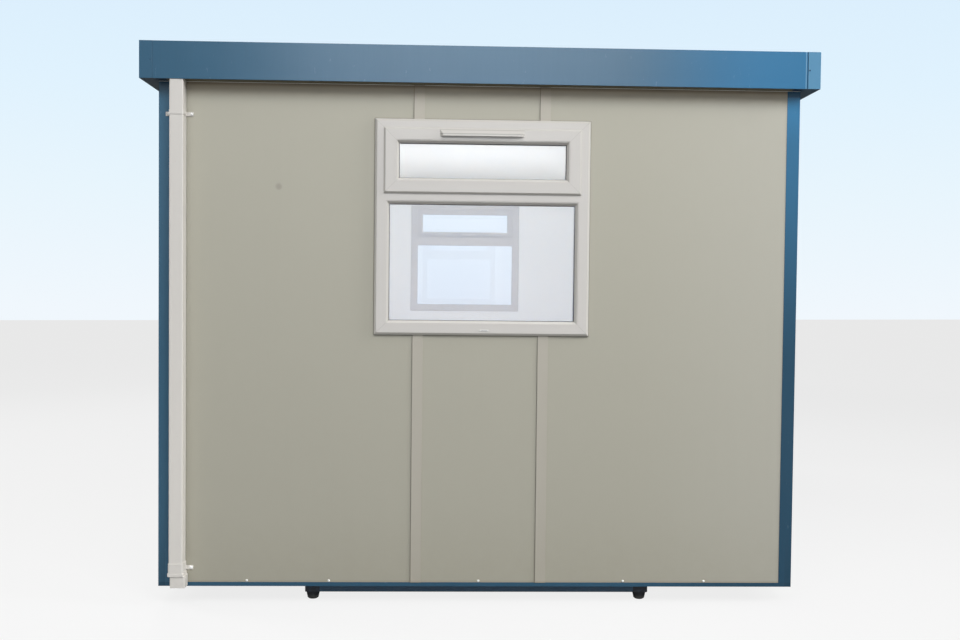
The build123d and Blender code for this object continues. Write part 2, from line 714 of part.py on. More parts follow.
def light(low, high, inset, glass_back):
    """Glass, bead and gasket of one light, whose rebate runs from low to high.

    The rebate is set in from the window's sides by the same distance on each side.
    """
    width = WINDOW - 2 * inset
    height = high - low
    middle = facing_out((low + high) / 2)
    front = glass_back + GLASS_UNIT
    gap = 2 * GLASS_GAP
    glass = middle * Pos(0, 0, glass_back + GLASS_UNIT / 2) * Box(width - gap, height - gap, GLASS_UNIT)
    bead = [
        (0, front),
        (0, front + BEAD_HEIGHT),
        (BEAD_FLAT, front + BEAD_HEIGHT),
        (BEAD_WIDTH, front + BEAD_EDGE),
        (BEAD_WIDTH, front),
    ]
    gasket = [
        (BEAD_WIDTH, front),
        (BEAD_WIDTH, front + GASKET_HEIGHT),
        (BEAD_WIDTH + GASKET_WIDTH, front),
    ]
    return glass, middle * mitred_ring(bead, width, height), middle * mitred_ring(gasket, width, height)


def window_sash():
    """The top-hung sash: it laps the frame's face and stands proud of it."""
    low = TRANSOM_HIGH - SASH_LAP
    high = SILL + WINDOW - FRAME_FACE + SASH_LAP
    body = SASH_LAP + SASH_GAP
    lip = SASH_FACE + STOP_LIP
    profile = [
        (0, WINDOW_PROUD),
        (0, SASH_FRONT - SASH_EDGE),
        (SASH_EDGE, SASH_FRONT),
        (SASH_FACE, SASH_FRONT),
        (SASH_FACE, SASH_STOP),
        (lip, SASH_STOP),
        (lip, SASH_BACK),
        (body, SASH_BACK),
        (body, WINDOW_PROUD),
    ]
    ring = mitred_ring(profile, WINDOW - 2 * (FRAME_FACE - SASH_LAP), high - low)
    return facing_out((low + high) / 2) * ring, low, high


def trickle_vent(sash_top):
    """A hooded ventilator on the sash's top rail, its ends cut back at 45 degrees."""
    top = sash_top - VENT_DROP
    low = top - VENT_HEIGHT
    front = SASH_FRONT + VENT_DEPTH
    half = VENT_LENGTH / 2
    hood = [
        (SASH_FRONT, low),
        (front, low),
        (front, low + VENT_LIP),
        (SASH_FRONT, top),
    ]
    outline = Polyline(
        (-half, -SASH_FRONT),
        (VENT_DEPTH - half, -front),
        (half - VENT_DEPTH, -front),
        (half, -SASH_FRONT),
        close=True,
    )
    between_ends = extrude(make_face(outline), SOFFIT)
    return Pos(VENT_OFFSET, 0, 0) * (run(hood, half) & between_ends)


def bevelled_bar(length, height, depth):
    """A flat bar with its corners cut off, standing on the XY plane."""
    face = Rectangle(length, height)
    return extrude(chamfer(face.vertices(), CATCH_CORNER), depth)


def sash_catch(sash_low):
    """The catch inside, on the middle of the sash's bottom rail."""
    plate = bevelled_bar(*CATCH_PLATE)
    radius, reach = CATCH_NECK
    neck = Cylinder(radius, reach, align=(Align.CENTER, Align.CENTER, Align.MIN))
    length, height, depth = CATCH_LEVER
    lever = bevelled_bar(length, height, depth)
    catch = plate + neck + Pos(length / 2 - height / 2, 0, reach) * lever
    level = (TRANSOM_HIGH + STOP_LIP + sash_low + SASH_FACE + STOP_LIP) / 2
    return Pos(0, -SASH_BACK, level) * Rot(-90, 0, 0) * catch


def windows():
    sash, sash_low, sash_high = window_sash()
    lower = light(SILL + FRAME_FACE, TRANSOM_LOW, FRAME_FACE, STOP_FACE)
    sash_inset = FRAME_FACE - SASH_LAP + SASH_FACE
    upper = light(sash_low + SASH_FACE, sash_high - SASH_FACE, sash_inset, SASH_STOP)
    nodes = {
        "window_frames": [window_frame()],
        "window_sashes": [sash],
        "window_glass": [lower[0], upper[0]],
        "window_beads": [lower[1], upper[1]],
        "window_gaskets": [lower[2], upper[2]],
        "trickle_vents": [trickle_vent(sash_high)],
        "window_catches": [sash_catch(sash_low)],
    }
    for name, pieces in nodes.items():
        save(name, *[on_end(Pos(WINDOW_OFFSET, 0, 0) * piece, end) for end in ENDS for piece in pieces])


# ---------------------------------------------------------------- door
def door_frame():
    """A folded frame, lapped over the panels, with a stop behind the leaf."""
    half = DOOR_OPENING / 2
    profile = [
        (-DOOR_FRAME_LAP, -SKIN_SETBACK),
        (-DOOR_FRAME_LAP, 0),
        (DOOR_FRAME_FACE, 0),
        (DOOR_FRAME_FACE, -DOOR_LEAF),
        (DOOR_FRAME_FACE + DOOR_STOP, -DOOR_LEAF),
        (DOOR_FRAME_FACE + DOOR_STOP, -PANEL_BACK),
        (0, -PANEL_BACK),
        (0, -SKIN_SETBACK),
    ]
    path = Polyline((-half, 0), (-half, DOOR_HEIGHT), (half, DOOR_HEIGHT), (half, 0))
    across = Plane(origin=(-half, 0, 0), x_dir=(1, 0, 0), z_dir=(0, -1, 0))
    swept = sweep(across * make_face(Polyline(*profile, close=True)), path=path, transition=Transition.RIGHT)
    return facing_out(BASE + JOIST_HEIGHT) * swept


def door_threshold(half_length):
    """A sill plate with a drip nose, over the edge of the deck."""
    low = BASE + JOIST_HEIGHT
    top = DECK_TOP + THRESHOLD_RISE
    edge = top - THRESHOLD_FALL
    thickness, drop = DRIP_EDGE
    profile = [
        (-PANEL_BACK, low),
        (-PANEL_BACK, top),
        (0, top),
        (THRESHOLD_NOSE, edge),
        (THRESHOLD_NOSE, edge - drop),
        (THRESHOLD_NOSE - thickness, edge - drop),
        (THRESHOLD_NOSE - thickness, edge - thickness),
        (0, top - THRESHOLD_PLATE),
        (0, low),
    ]
    return run(profile, half_length)


def door_hinge():
    """A flat plate either side of a knuckle, standing on the XY plane."""
    width, length, thickness = HINGE_PLATE
    plate = slab(-width / 2, width / 2, 0, thickness, 0, length)
    knuckle = Cylinder(HINGE_KNUCKLE, length, align=(Align.CENTER, Align.CENTER, Align.MIN))
    return plate + Pos(0, -HINGE_KNUCKLE, 0) * knuckle


def door_handle():
    """A lever on a plate over a lock barrel, drawn facing +Z."""
    width, height, thickness = HANDLE_PLATE
    plate = extrude(RectangleRounded(width, height, HANDLE_PLATE_CORNER), thickness)
    upright = (Align.CENTER, Align.CENTER, Align.MIN)
    radius, reach = HANDLE_NECK
    neck = Pos(0, HANDLE_RISE, 0) * Cylinder(radius, reach, align=upright)
    length, depth, thick = HANDLE_LEVER
    section = Plane.YZ * RectangleRounded(depth, thick, HANDLE_LEVER_CORNER)
    lever = Pos(HANDLE_OVERLAP - length / 2, HANDLE_RISE, reach) * extrude(section, length / 2, both=True)
    barrel = Pos(0, -LOCK_DROP, 0) * Cylinder(*LOCK_BARREL, align=upright)
    return plate + neck + lever + barrel


def door():
    """A plain steel door, hung in a lapped frame on the right-hand side."""
    clear = DOOR_OPENING / 2 - DOOR_FRAME_FACE
    frame = door_frame()
    leaf_low = DECK_TOP + THRESHOLD_RISE + DOOR_GAP
    leaf_high = BASE + JOIST_HEIGHT + DOOR_HEIGHT - DOOR_FRAME_FACE - DOOR_GAP
    leaf = slab(-clear + DOOR_GAP, clear - DOOR_GAP, -DOOR_LEAF, 0, leaf_low, leaf_high)
    first = leaf_low + HINGE_INSET
    rise = (leaf_high - HINGE_INSET - HINGE_PLATE[1] - first) / (HINGE_COUNT - 1)
    hinge_line = Pos(-clear + DOOR_GAP / 2, 0, first)
    hinges = [hinge_line * Pos(0, 0, n * rise) * door_hinge() for n in range(HINGE_COUNT)]
    at_handle = facing_out(DECK_TOP + HANDLE_LEVEL, clear - DOOR_GAP - HANDLE_BACKSET)
    outer_handle = at_handle * door_handle()
    inner_handle = Pos(0, DOOR_LEAF, 0) * mirror(outer_handle, about=Plane.XZ)
    nodes = {
        "door_frame": [frame],
        "door_threshold": [door_threshold(clear) - frame],
        "door_leaf": [leaf],
        "door_hinges": hinges,
        "door_handles": [outer_handle, inner_handle],
    }
    for name, pieces in nodes.items():
        save(name, *[on_side(Pos(DOOR_CENTRE, 0, 0) * piece, "right") for piece in pieces])


skids()
base_rails()
floor()
end_walls()
side_walls()
joint_strips()
corner_posts()
eaves()
roof()
rainwater()
windows()
door()
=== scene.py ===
"""Finishes, fixings and a studio for the portable site cabin.

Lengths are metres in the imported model's own frame: the ground is at z = 0, the front end
looks along -Y and the door is on the +X side. Each operator finishes or adds one group of
pieces, and main() calls them in turn.
"""

import json
import math

import bmesh
import bpy
from bpy.props import FloatProperty, FloatVectorProperty, PointerProperty
from bpy.types import Operator, Panel, PropertyGroup
from mathutils import Matrix, Vector


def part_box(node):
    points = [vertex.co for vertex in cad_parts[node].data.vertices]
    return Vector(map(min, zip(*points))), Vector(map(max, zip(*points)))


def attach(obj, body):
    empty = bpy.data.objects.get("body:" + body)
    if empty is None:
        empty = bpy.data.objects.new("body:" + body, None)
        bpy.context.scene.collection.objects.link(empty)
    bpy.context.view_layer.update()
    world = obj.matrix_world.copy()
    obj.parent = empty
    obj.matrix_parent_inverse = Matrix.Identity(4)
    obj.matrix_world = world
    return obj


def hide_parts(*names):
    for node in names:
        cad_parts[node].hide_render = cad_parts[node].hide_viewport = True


bl_info = {
    "name": "Portable Site Cabin",
    "version": (1, 0, 0),
    "blender": (4, 5, 0),
    "location": "View3D > Sidebar > Site Cabin",
    "description": "Finishes, fixings and a studio for the packed cabin",
    "category": "Object",
}

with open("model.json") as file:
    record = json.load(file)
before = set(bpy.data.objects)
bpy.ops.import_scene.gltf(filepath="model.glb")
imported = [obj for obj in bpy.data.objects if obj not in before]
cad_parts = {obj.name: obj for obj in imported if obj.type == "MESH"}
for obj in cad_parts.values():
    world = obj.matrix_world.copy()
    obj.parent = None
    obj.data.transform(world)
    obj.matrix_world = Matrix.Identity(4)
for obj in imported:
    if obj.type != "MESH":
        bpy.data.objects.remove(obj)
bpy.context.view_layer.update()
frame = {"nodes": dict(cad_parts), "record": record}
BODY = "root"
FRONT, REAR = -1, 1  # sign of Y at each end
LEFT, RIGHT = -1, 1  # sign of X at each side
WALL_LOW, WALL_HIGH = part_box("corner_posts")
ROOM_LOW, ROOM_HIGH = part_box("floor_deck")
END_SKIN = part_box("rear_wall_middle")[1].y       # outside of the end walls


def srgb(red, green, blue):
    """Linear values, as shaders take them, of a colour given from 0 to 255 as screens show it."""
    shares = [value / 255 for value in (red, green, blue)]
    return tuple(s / 12.92 if s <= 0.04045 else ((s + 0.055) / 1.055) ** 2.4 for s in shares)


# ---- settings
def colour(name, description, default):
    return FloatVectorProperty(
        name=name, description=description, subtype="COLOR", size=3, min=0.0, max=1.0, default=default
    )


def length(name, description, default):
    return FloatProperty(
        name=name, description=description, unit="LENGTH", subtype="DISTANCE", min=0.0, default=default
    )


def angle(name, description, default):
    return FloatProperty(name=name, description=description, subtype="ANGLE", default=default)


class CabinColours(PropertyGroup):
    """Colours of the cabin's finishes"""

    wall: colour("Wall Skin", "Coated steel outside of the panels", srgb(167, 164, 150))
    lining: colour("Lining", "Coated steel inside of the panels", srgb(232, 232, 228))
    steelwork: colour("Steelwork", "Stoved paint of the fascias, rails and door", srgb(45, 85, 110))
    skids: colour("Skids", "Paint of the runners and cross beams", srgb(62, 98, 126))
    plastic: colour("White Plastic", "Window frames, sashes, beads and rainwater pipes", srgb(200, 196, 190))
    rubber: colour("Rubber", "Feet and gaskets", srgb(26, 28, 31))
    plug: colour("Runner Plug", "Moulded plugs in the runners' ends", srgb(28, 32, 38))
    roof: colour("Roof Sheets", "Coated profiled sheets and the ridge cap", srgb(160, 163, 164))
    zinc: colour("Zinc", "Galvanised gutters and joists", srgb(186, 190, 192))
    ply: colour("Deck Ply", "Face veneer of the floor deck", srgb(190, 158, 116))
    softwood: colour("Softwood", "Sawn roof purlins", srgb(205, 176, 130))
    aluminium: colour("Aluminium", "Mill finish door threshold", srgb(196, 198, 200))
    satin: colour("Satin Steel", "Door handles and hinges", srgb(188, 190, 192))


class FixingSizes(PropertyGroup):
    """Sizes of the fixings and small trims"""

    screw_head: length("Screw Head", "Diameter of the white screws along the panels' foot", 0.0115)
    screw_level: length("Screw Level", "Height of those screws above the panels' foot", 0.0075)
    rivet_head: length("Rivet Head", "Diameter of the rivets in the fascia returns", 0.009)
    clip_cap: length("Clip Cap", "Diameter of the screw caps on the pipe clips' ears", 0.014)
    lug_cap: length("Lug Cap", "Diameter of the screw caps on the shoes' lugs", 0.017)
    roof_washer: length("Roof Washer", "Diameter of the roof screws' sealing washers", 0.016)
    drain_cap: length("Drain Cap", "Length of the cover over a window's drain slot", 0.042)
    pane: length("Pane", "Thickness of each pane of the sealed units", 0.004)
    spacer: length("Spacer", "Height of the spacer bar between two panes", 0.0065)
    spacer_inset: length("Spacer Inset", "From the panes' edge to the spacer bar", 0.005)
    sealant: length("Sealant", "Width of the sealant bead round a window frame", 0.003)
    seal: length("Door Seal", "Width of the rubber seal round the door leaf", 0.0028)


class Studio(PropertyGroup):
    """The floor, the light and the camera"""

    floor: colour("Floor", "Matt share of the floor that the camera sees", srgb(205, 205, 205))
    bounce: colour("Bounce", "Floor as it throws light back onto the cabin", srgb(160, 160, 160))
    camera_place: FloatVectorProperty(
        name="Camera Place", description="Where the camera stands", subtype="TRANSLATION", unit="LENGTH",
        size=3, default=(-0.1623, -7.4457, 1.5211),
    )
    yaw: angle("Yaw", "Camera turned to its right", 0.03205)
    pitch: angle("Pitch", "Camera tipped down", 0.03051)
    roll: angle("Roll", "Camera rolled about its view", 0.01057)
    lens: FloatProperty(
        name="Lens", description="Focal length on a 36 mm sensor", subtype="DISTANCE_CAMERA", default=39.394
    )


# ---- finishes
def arithmetic(operation):
    return lambda wire, *others: wire.finish.maths(operation, wire, *others)


def reflected(operation):
    return lambda wire, other: wire.finish.maths(operation, other, wire)


class Wire:
    """A node's output that takes part in arithmetic. Each operator adds a Math node."""

    def __init__(self, finish, socket):
        self.finish = finish
        self.socket = socket

    __add__ = __radd__ = arithmetic("ADD")
    __mul__ = __rmul__ = arithmetic("MULTIPLY")
    __sub__, __rsub__ = arithmetic("SUBTRACT"), reflected("SUBTRACT")
    __truediv__ = arithmetic("DIVIDE")
    __lt__, __gt__ = arithmetic("LESS_THAN"), arithmetic("GREATER_THAN")
    __abs__ = arithmetic("ABSOLUTE")


class Finish:
    """The node tree of a material or the world, laid out by expressions."""

    def __init__(self, owner):
        self.owner = owner
        owner.use_nodes = True
        self.tree = owner.node_tree
        self.tree.nodes.clear()

    def node(self, kind, sockets=None, output=0, **settings):
        """Adds a node: its settings first, then its sockets' values or links. Gives one output."""
        node = self.tree.nodes.new(f"ShaderNode{kind}")
        for name, value in settings.items():
            if name == "stops":
                self.set_stops(node.color_ramp, value)
            else:
                setattr(node, name, value)
        for name, value in (sockets or {}).items():
            socket = self.find(node.inputs, name)
            if isinstance(value, Wire):
                self.tree.links.new(value.socket, socket)
            elif hasattr(value, "__len__") and len(value) < len(socket.default_value):
                socket.default_value = (*value, 1.0)
            else:
                socket.default_value = value
        return Wire(self, self.find(node.outputs, output))

    @staticmethod
    def find(sockets, name):
        if isinstance(name, int):
            return sockets[name]
        return next(socket for socket in sockets if socket.name == name and socket.enabled)

    @staticmethod
    def set_stops(ramp, stops):
        while len(ramp.elements) < len(stops):
            ramp.elements.new(1.0)
        for element, (place, shade) in zip(ramp.elements, stops):
            element.position = place
            element.color = (*shade, 1.0)

    def maths(self, operation, *values):
        return self.node("Math", dict(enumerate(values)), operation=operation)

    def place(self):
        """The point on the cabin, and its x, y and z."""
        point = self.node("TexCoord", output="Object")
        return point, *(self.node("SeparateXYZ", {0: point}, axis) for axis in "XYZ")

    def upward(self):
        """How far the surface faces up, from -1 to 1."""
        normal = self.node("NewGeometry", output="Normal")
        return self.node("SeparateXYZ", {0: normal}, "Z")

    def stretch(self, point, by):
        return self.node("VectorMath", {0: point, 1: by}, operation="MULTIPLY")

    def noise(self, point, scale, detail=2.0, roughness=0.5, distortion=0.0):
        sockets = {"Vector": point, "Scale": scale, "Detail": detail}
        sockets.update({"Roughness": roughness, "Distortion": distortion})
        return self.node("TexNoise", sockets)

    def rise(self, value, low, high):
        """From 0 at low to 1 at high, smoothly."""
        sockets = {"Value": value, "From Min": low, "From Max": high}
        return self.node("MapRange", sockets, interpolation_type="SMOOTHSTEP")

    def fall(self, value, low, high):
        """From 1 at low to 0 at high, smoothly."""
        return 1.0 - self.rise(value, low, high)

    def line(self, value, middle, solid, faded):
        """1 where a value is within solid of middle, and 0 where it is more than faded away."""
        return self.fall(abs(value - middle), solid, faded)

    def blend(self, share, first, second):
        """A colour between two others."""
        sockets = {"Factor": share, "A": first, "B": second}
        return self.node("Mix", sockets, "Result", data_type="RGBA")

    def distance(self, point, spot):
        return self.node("VectorMath", {0: point, 1: spot}, "Value", operation="DISTANCE")

    def relief(self, height, depth, eased=None):
        """The normal with a height laid on it, over edges that are eased to a radius."""
        sockets = {"Height": height, "Distance": depth}
        if eased:
            sockets["Normal"] = self.node("Bevel", {"Radius": eased}, samples=4)
        return self.node("Bump", sockets)

    def surface(self, **sockets):
        """Ends the material in one Principled shader and gives the material back."""
        named = {name.replace("_", " "): value for name, value in sockets.items()}
        shader = self.node("BsdfPrincipled", named)
        return self.end(shader)

    def end(self, shader):
        """Links the last shader to the output and gives the material or the world back."""
        kind = "World" if isinstance(self.owner, bpy.types.World) else "Material"
        output = self.tree.nodes.new(f"ShaderNodeOutput{kind}")
        self.tree.links.new(shader.socket, output.inputs["Surface"])
        return self.owner


def new_finish(name):
    """A material to lay out, with the point on the cabin and its x, y and z."""
    finish = Finish(bpy.data.materials.new(name))
    return finish, *finish.place()


def shade(tint, factor):
    """A colour made lighter or darker."""
    return tuple(min(1.0, value * factor) for value in tint)


def painted_light_at_right_corner(finish, x, y, full):
    """Share of painted light, where paint is made lighter for light falling from the right: from 0 to 1 at
    full, towards the front end's right-hand corner, and 0 further back.
    """
    return finish.rise(x, 0.6, full) * finish.fall(y, -2.4, -1.0)


def panel_skin(colours, name="panel_skin", tint=None, shaded_edges=()):
    """Embossed coated steel outside, with painted shade under the eaves, painted light towards the front
    end's right-hand corner and dust at the foot, and white lining on the room's side. Its last argument
    lists the x of edges that a painted shadow darkens."""
    paint, point, x, y, z = new_finish(name)
    foot, eaves = WALL_LOW.z, WALL_HIGH.z
    grain = paint.noise(point, 520.0, roughness=0.6)
    clouding = paint.noise(paint.stretch(point, (1.0, 1.0, 0.45)), 1.7, detail=3.0)
    runs = paint.noise(paint.stretch(point, (26.0, 26.0, 0.9)), 1.0, detail=3.0)
    splash = paint.noise(point, 14.0, detail=4.0, roughness=0.65)
    tone = 0.965 + clouding * 0.045 + runs * 0.028
    mark = Vector((-0.962, WALL_LOW.y, 1.992))  # a smudge on the front end
    ragged = paint.distance(point, mark) + splash * 0.012 - 0.006
    outside = paint.blend(1.0 - tone, tint or colours.wall, (0.0, 0.0, 0.0))
    # painted shadow: a dark line along the edge at each x listed
    for dark_line in shaded_edges:
        outside = paint.blend(paint.line(x, dark_line, 0.001, 0.004) * 0.6, outside, srgb(84, 80, 70))
    stains_and_painted_light = (
        # painted light: the wall skin paler towards the front end's right-hand corner
        (painted_light_at_right_corner(paint, x, y, 1.5) * 0.09, srgb(212, 213, 214)),
        (paint.fall(z, foot, foot + 0.42) * splash * 0.22, srgb(146, 138, 116)),
        # painted shade: a warm brown band under the eaves, darkest right under them
        (paint.rise(z, eaves - 0.08, eaves) * 0.5, srgb(165, 142, 102)),
        (paint.rise(z, eaves - 0.02, eaves - 0.004) * 0.5, srgb(84, 72, 50)),
        (paint.fall(z, foot + 0.004, foot + 0.013) * 0.55, srgb(158, 148, 128)),
        (paint.fall(ragged, 0.006, 0.022) * 0.3, srgb(96, 94, 82)),
    )
    for share, overlay_tint in stains_and_painted_light:
        outside = paint.blend(share, outside, overlay_tint)
    inside = (abs(x) < ROOM_HIGH.x + 0.001) * (abs(y) < ROOM_HIGH.y + 0.001)
    return paint.surface(
        Base_Color=paint.blend(inside, outside, colours.lining),
        Roughness=0.52 + splash * 0.12,
        Specular_IOR_Level=0.35,
        Normal=paint.relief(grain + paint.noise(point, 3.1) * 6.0, 0.00016, 0.0008),
    )


def soffit_finish():
    """Cream paint between the posts, and dark blue steel at the corners beyond them, both darkened as
    painted shade for the underside of the eaves.
    """
    paint, point, x, _, _ = new_finish("soffit_paint")
    drift = paint.noise(point, 6.0, detail=4.0, roughness=0.6)
    # painted shade: both colours are dark for the shade on the soffit
    cream = paint.blend(drift * 0.4, srgb(100, 94, 76), srgb(84, 79, 62))
    steel = paint.blend(drift * 0.5, srgb(20, 42, 62), srgb(12, 28, 44))
    return paint.surface(
        Base_Color=paint.blend(abs(x) > ROOM_HIGH.x + 0.006, cream, steel),
        Roughness=0.5 + drift * 0.15,
        Specular_IOR_Level=0.15,
        Normal=paint.relief(paint.noise(point, 300.0), 0.0001, 0.0008),
    )


def white_lining(colours):
    """Bright coated steel of the ceiling and corner trims."""
    paint, point, *_ = new_finish("white_lining")
    grain = paint.noise(point, 520.0)
    tone = paint.noise(point, 2.4, detail=3.0) * 0.06
    return paint.surface(
        Base_Color=paint.blend(tone, colours.lining, srgb(190, 190, 180)),
        Roughness=0.42 + paint.noise(point, 30.0) * 0.12,
        Normal=paint.relief(grain, 0.0001),
    )


def stoved_paint(name, tint, dusty=0.0, lit_corner_tint=srgb(50, 114, 156), rivets=None, gloss=0.2):
    """Smooth paint on folded steel: orange peel, faint runs, eased edges and some dust, with painted light
    and shade: lighter towards the front end's right-hand corner, a painted highlight by the fascia's return
    joint, painted eaves shadow and painted shade on undersides. The colour given after dusty is its colour
    at that corner, painted light. rivets gives the x, the z and the radius of the flush rivets in the
    fascia's returns."""
    paint, point, x, y, z = new_finish(name)
    eaves = WALL_HIGH.z
    streaks = paint.noise(paint.stretch(point, (90.0, 90.0, 5.0)), 1.0, detail=4.0, roughness=0.6)
    drift = paint.noise(paint.stretch(point, (1.0, 1.0, 0.4)), 2.6, detail=3.0)
    peel = paint.noise(point, 260.0, detail=1.0)
    rubbed = paint.noise(paint.stretch(point, (1.0, 1.0, 0.35)), 34.0, detail=5.0, roughness=0.7)
    scuffs = paint.rise(rubbed, 0.62, 0.78)
    # share of painted light towards the front end's right-hand corner
    lit_corner = painted_light_at_right_corner(paint, x, y, 1.4)
    base = paint.blend(drift * 0.5 + streaks * 0.3, shade(tint, 1.12), shade(tint, 0.8))
    base = paint.blend(scuffs * 0.12, base, shade(tint, 1.9))
    # painted light and shade: near that corner the paint is bright blue high up and dark blue low down
    base = paint.blend(lit_corner * 0.8, base, paint.blend(paint.rise(z, 1.1, 2.3), srgb(33, 66, 87), lit_corner_tint))
    height = peel + drift * 9.0

    on_fascia = (z > eaves) * (abs(y) > WALL_HIGH.y + 0.05)
    lap = abs(x) - WALL_HIGH.x
    # painted highlight: a pale line beside the fascia's return joint, at the lit corner
    edge_highlight = paint.line(lap, 0.003, 0.0005, 0.0028) * on_fascia * lit_corner
    base = paint.blend(edge_highlight * 0.6, base, srgb(136, 174, 198))
    gap = paint.line(lap, 0.0105, 0.0008, 0.0026) * on_fascia
    base = paint.blend(gap * (0.2 + lit_corner * 0.6), base, srgb(12, 30, 46))
    if rivets:
        rivet_x, rivet_z, radius = rivets
        across, up = abs(x) - rivet_x, z - rivet_z
        away = paint.maths("SQRT", across * across + up * up)
        head = paint.fall(away, radius * 0.8, radius) * on_fascia
        base = paint.blend(head * (0.3 + lit_corner * 0.55), base, srgb(18, 46, 74))
        height = height + head * 14.0 - paint.fall(away, 0.0, radius * 0.4) * on_fascia * 8.0

    low = paint.fall(z, 0.06, 0.4)
    base = paint.blend(low * streaks * dusty, base, srgb(120, 116, 104))
    # painted shade: steel at the sides, such as the posts, darker towards its foot
    at_side = abs(x) > ROOM_HIGH.x + 0.02
    base = paint.blend(low * at_side * 0.45, base, shade(tint, 0.45))
    below = z < eaves
    # painted highlight: brighter blue on the lit corner's steel just under the eaves
    eaves_highlight = paint.rise(z, 2.2, 2.4) * below * lit_corner
    base = paint.blend(eaves_highlight * 0.35, base, srgb(60, 130, 176))
    # painted shadow of the eaves on the posts: a crisp band at the lit corner and a soft one elsewhere
    crisp = paint.rise(z, eaves - 0.034, eaves - 0.024)
    soft = paint.rise(z, eaves - 0.09, eaves - 0.005)
    base = paint.blend((crisp * lit_corner + soft * (1.0 - lit_corner)) * below * 0.65, base, shade(tint, 0.3))
    # painted shade on surfaces that face down
    under = paint.upward() < -0.5
    base = paint.blend(under * 0.85, base, shade(tint, 0.16))
    return paint.surface(
        Base_Color=base,
        Roughness=gloss + streaks * 0.1 + scuffs * 0.12 + under * 0.4,
        Specular_IOR_Level=0.3,
        Normal=paint.relief(height, 0.00009, 0.0012),
    )


def moulded_plastic(name, tint, rings=(), face=0.0, shaded_creases=()):
    """White extruded plastic. rings are the boxes of frames that are welded at mitred corners, face
    is the width of their bars, and the levels given last are where painted shade darkens creases and gaps."""
    paint, point, x, _, z = new_finish(name)
    film = paint.noise(point, 5.0, detail=4.0, roughness=0.6)
    fine = paint.noise(point, 70.0, detail=3.0)
    # painted shade: the white plastic darker towards the top and paler low down
    shaded_towards_top = paint.blend(paint.rise(z, 0.2, 2.5), shade(tint, 1.07), shade(tint, 0.86))
    base = paint.blend(film * 0.16, shaded_towards_top, shade(tint, 0.86))
    base = paint.blend(paint.rise(fine, 0.66, 0.78) * 0.1, base, srgb(150, 146, 132))
    height = fine * 0.2
    for low, high in rings:
        middle, half = (low + high) / 2, (high - low) / 2
        across, up = abs(x - middle.x) - half.x, abs(z - middle.z) - half.z
        on_corner = (across > -face) * (up > -face) * (across < 0.001) * (up < 0.001)
        dark_line = paint.line(across, up, 0.0003, 0.0012) * on_corner
        base = paint.blend(dark_line * 0.45, base, srgb(118, 116, 108))
        height = height - dark_line
    # painted shade along each crease and gap listed
    for level in shaded_creases:
        base = paint.blend(paint.line(z, level, 0.001, 0.0035) * 0.6, base, srgb(136, 134, 128))
    return paint.surface(
        Base_Color=base,
        Roughness=0.42 + film * 0.12,
        Normal=paint.relief(height, 0.0003, 0.0012),
    )


def sealed_glass():
    """Clear glass that lets the lamps through, with a trace of film that dulls it here and there."""
    glass, point, *_ = new_finish("window_glass")
    film = glass.noise(glass.stretch(point, (1.0, 1.0, 0.5)), 3.0, detail=3.0)
    tint = glass.blend(film, srgb(254, 254, 254), srgb(251, 252, 253))
    dull = glass.rise(film, 0.55, 0.9) * 0.03
    sockets = {"Base Color": tint, "Roughness": dull, "IOR": 1.7, "Transmission Weight": 1.0}
    pane = glass.node("BsdfPrincipled", sockets)
    lamps = glass.node("LightPath", output="Is Shadow Ray")
    clear = glass.node("BsdfTransparent", {"Color": srgb(120, 124, 126)})
    return glass.end(glass.node("MixShader", {0: lamps, 1: pane, 2: clear}))


def black_rubber(colours, name="black_rubber", tint=None):
    """Moulded rubber with bloom, and dust low down."""
    rubber, point, *_, z = new_finish(name)
    bloom = rubber.noise(point, 38.0, detail=4.0, roughness=0.65)
    tint = tint or colours.rubber
    base = rubber.blend(bloom * 0.3, tint, shade(tint, 2.0))
    dust = rubber.fall(z, 0.0, 0.03) * bloom * 0.6
    return rubber.surface(
        Base_Color=rubber.blend(dust, base, srgb(126, 122, 112)),
        Roughness=0.62 + bloom * 0.2,
        Normal=rubber.relief(rubber.noise(point, 420.0), 0.00015, 0.0008),
    )


def runner_plug(colours):
    """Black plastic with a sparked grain and a bluish bloom."""
    plug, point, *_ = new_finish("runner_plug")
    spark = plug.noise(point, 700.0)
    bloom = plug.rise(plug.noise(point, 46.0, detail=4.0), 0.5, 0.75)
    return plug.surface(
        Base_Color=plug.blend(bloom * 0.5, colours.plug, srgb(58, 76, 98)),
        Roughness=0.45 + bloom * 0.2,
        Normal=plug.relief(spark, 0.0002, 0.0015),
    )


def roof_coating(colours):
    """Light grey coated sheet with rain streaks down the fall and dirt in the pans."""
    roof, point, _, y, _ = new_finish("roof_coating")
    streaks = roof.noise(roof.stretch(point, (38.0, 1.3, 1.0)), 1.0, detail=4.0, roughness=0.6)
    patches = roof.noise(point, 3.4, detail=4.0, roughness=0.6)
    eaves = roof.rise(abs(y), 0.6, WALL_HIGH.y)
    dirt = roof.rise(streaks, 0.42, 0.75) * (0.16 + eaves * 0.3) + patches * 0.08
    return roof.surface(
        Base_Color=roof.blend(dirt, colours.roof, srgb(104, 100, 88)),
        Roughness=0.4 + patches * 0.2,
        Normal=roof.relief(roof.noise(point, 300.0) + patches * 8.0, 0.0001, 0.002),
    )


def galvanised(colours):
    """Hot-dipped zinc: flat crystals of differing brightness."""
    zinc, point, *_ = new_finish("galvanised")
    crystal = zinc.node("TexVoronoi", {"Vector": point, "Scale": 62.0}, "Color")
    spangle = zinc.node("SeparateXYZ", {0: crystal}, "X")
    dull = zinc.noise(point, 5.0, detail=4.0)
    return zinc.surface(
        Base_Color=zinc.blend(spangle * 0.35 + dull * 0.25, colours.zinc, shade(colours.zinc, 0.6)),
        Metallic=0.9,
        Roughness=0.34 + spangle * 0.14 + dull * 0.12,
        Normal=zinc.relief(spangle, 0.00005, 0.0008),
    )


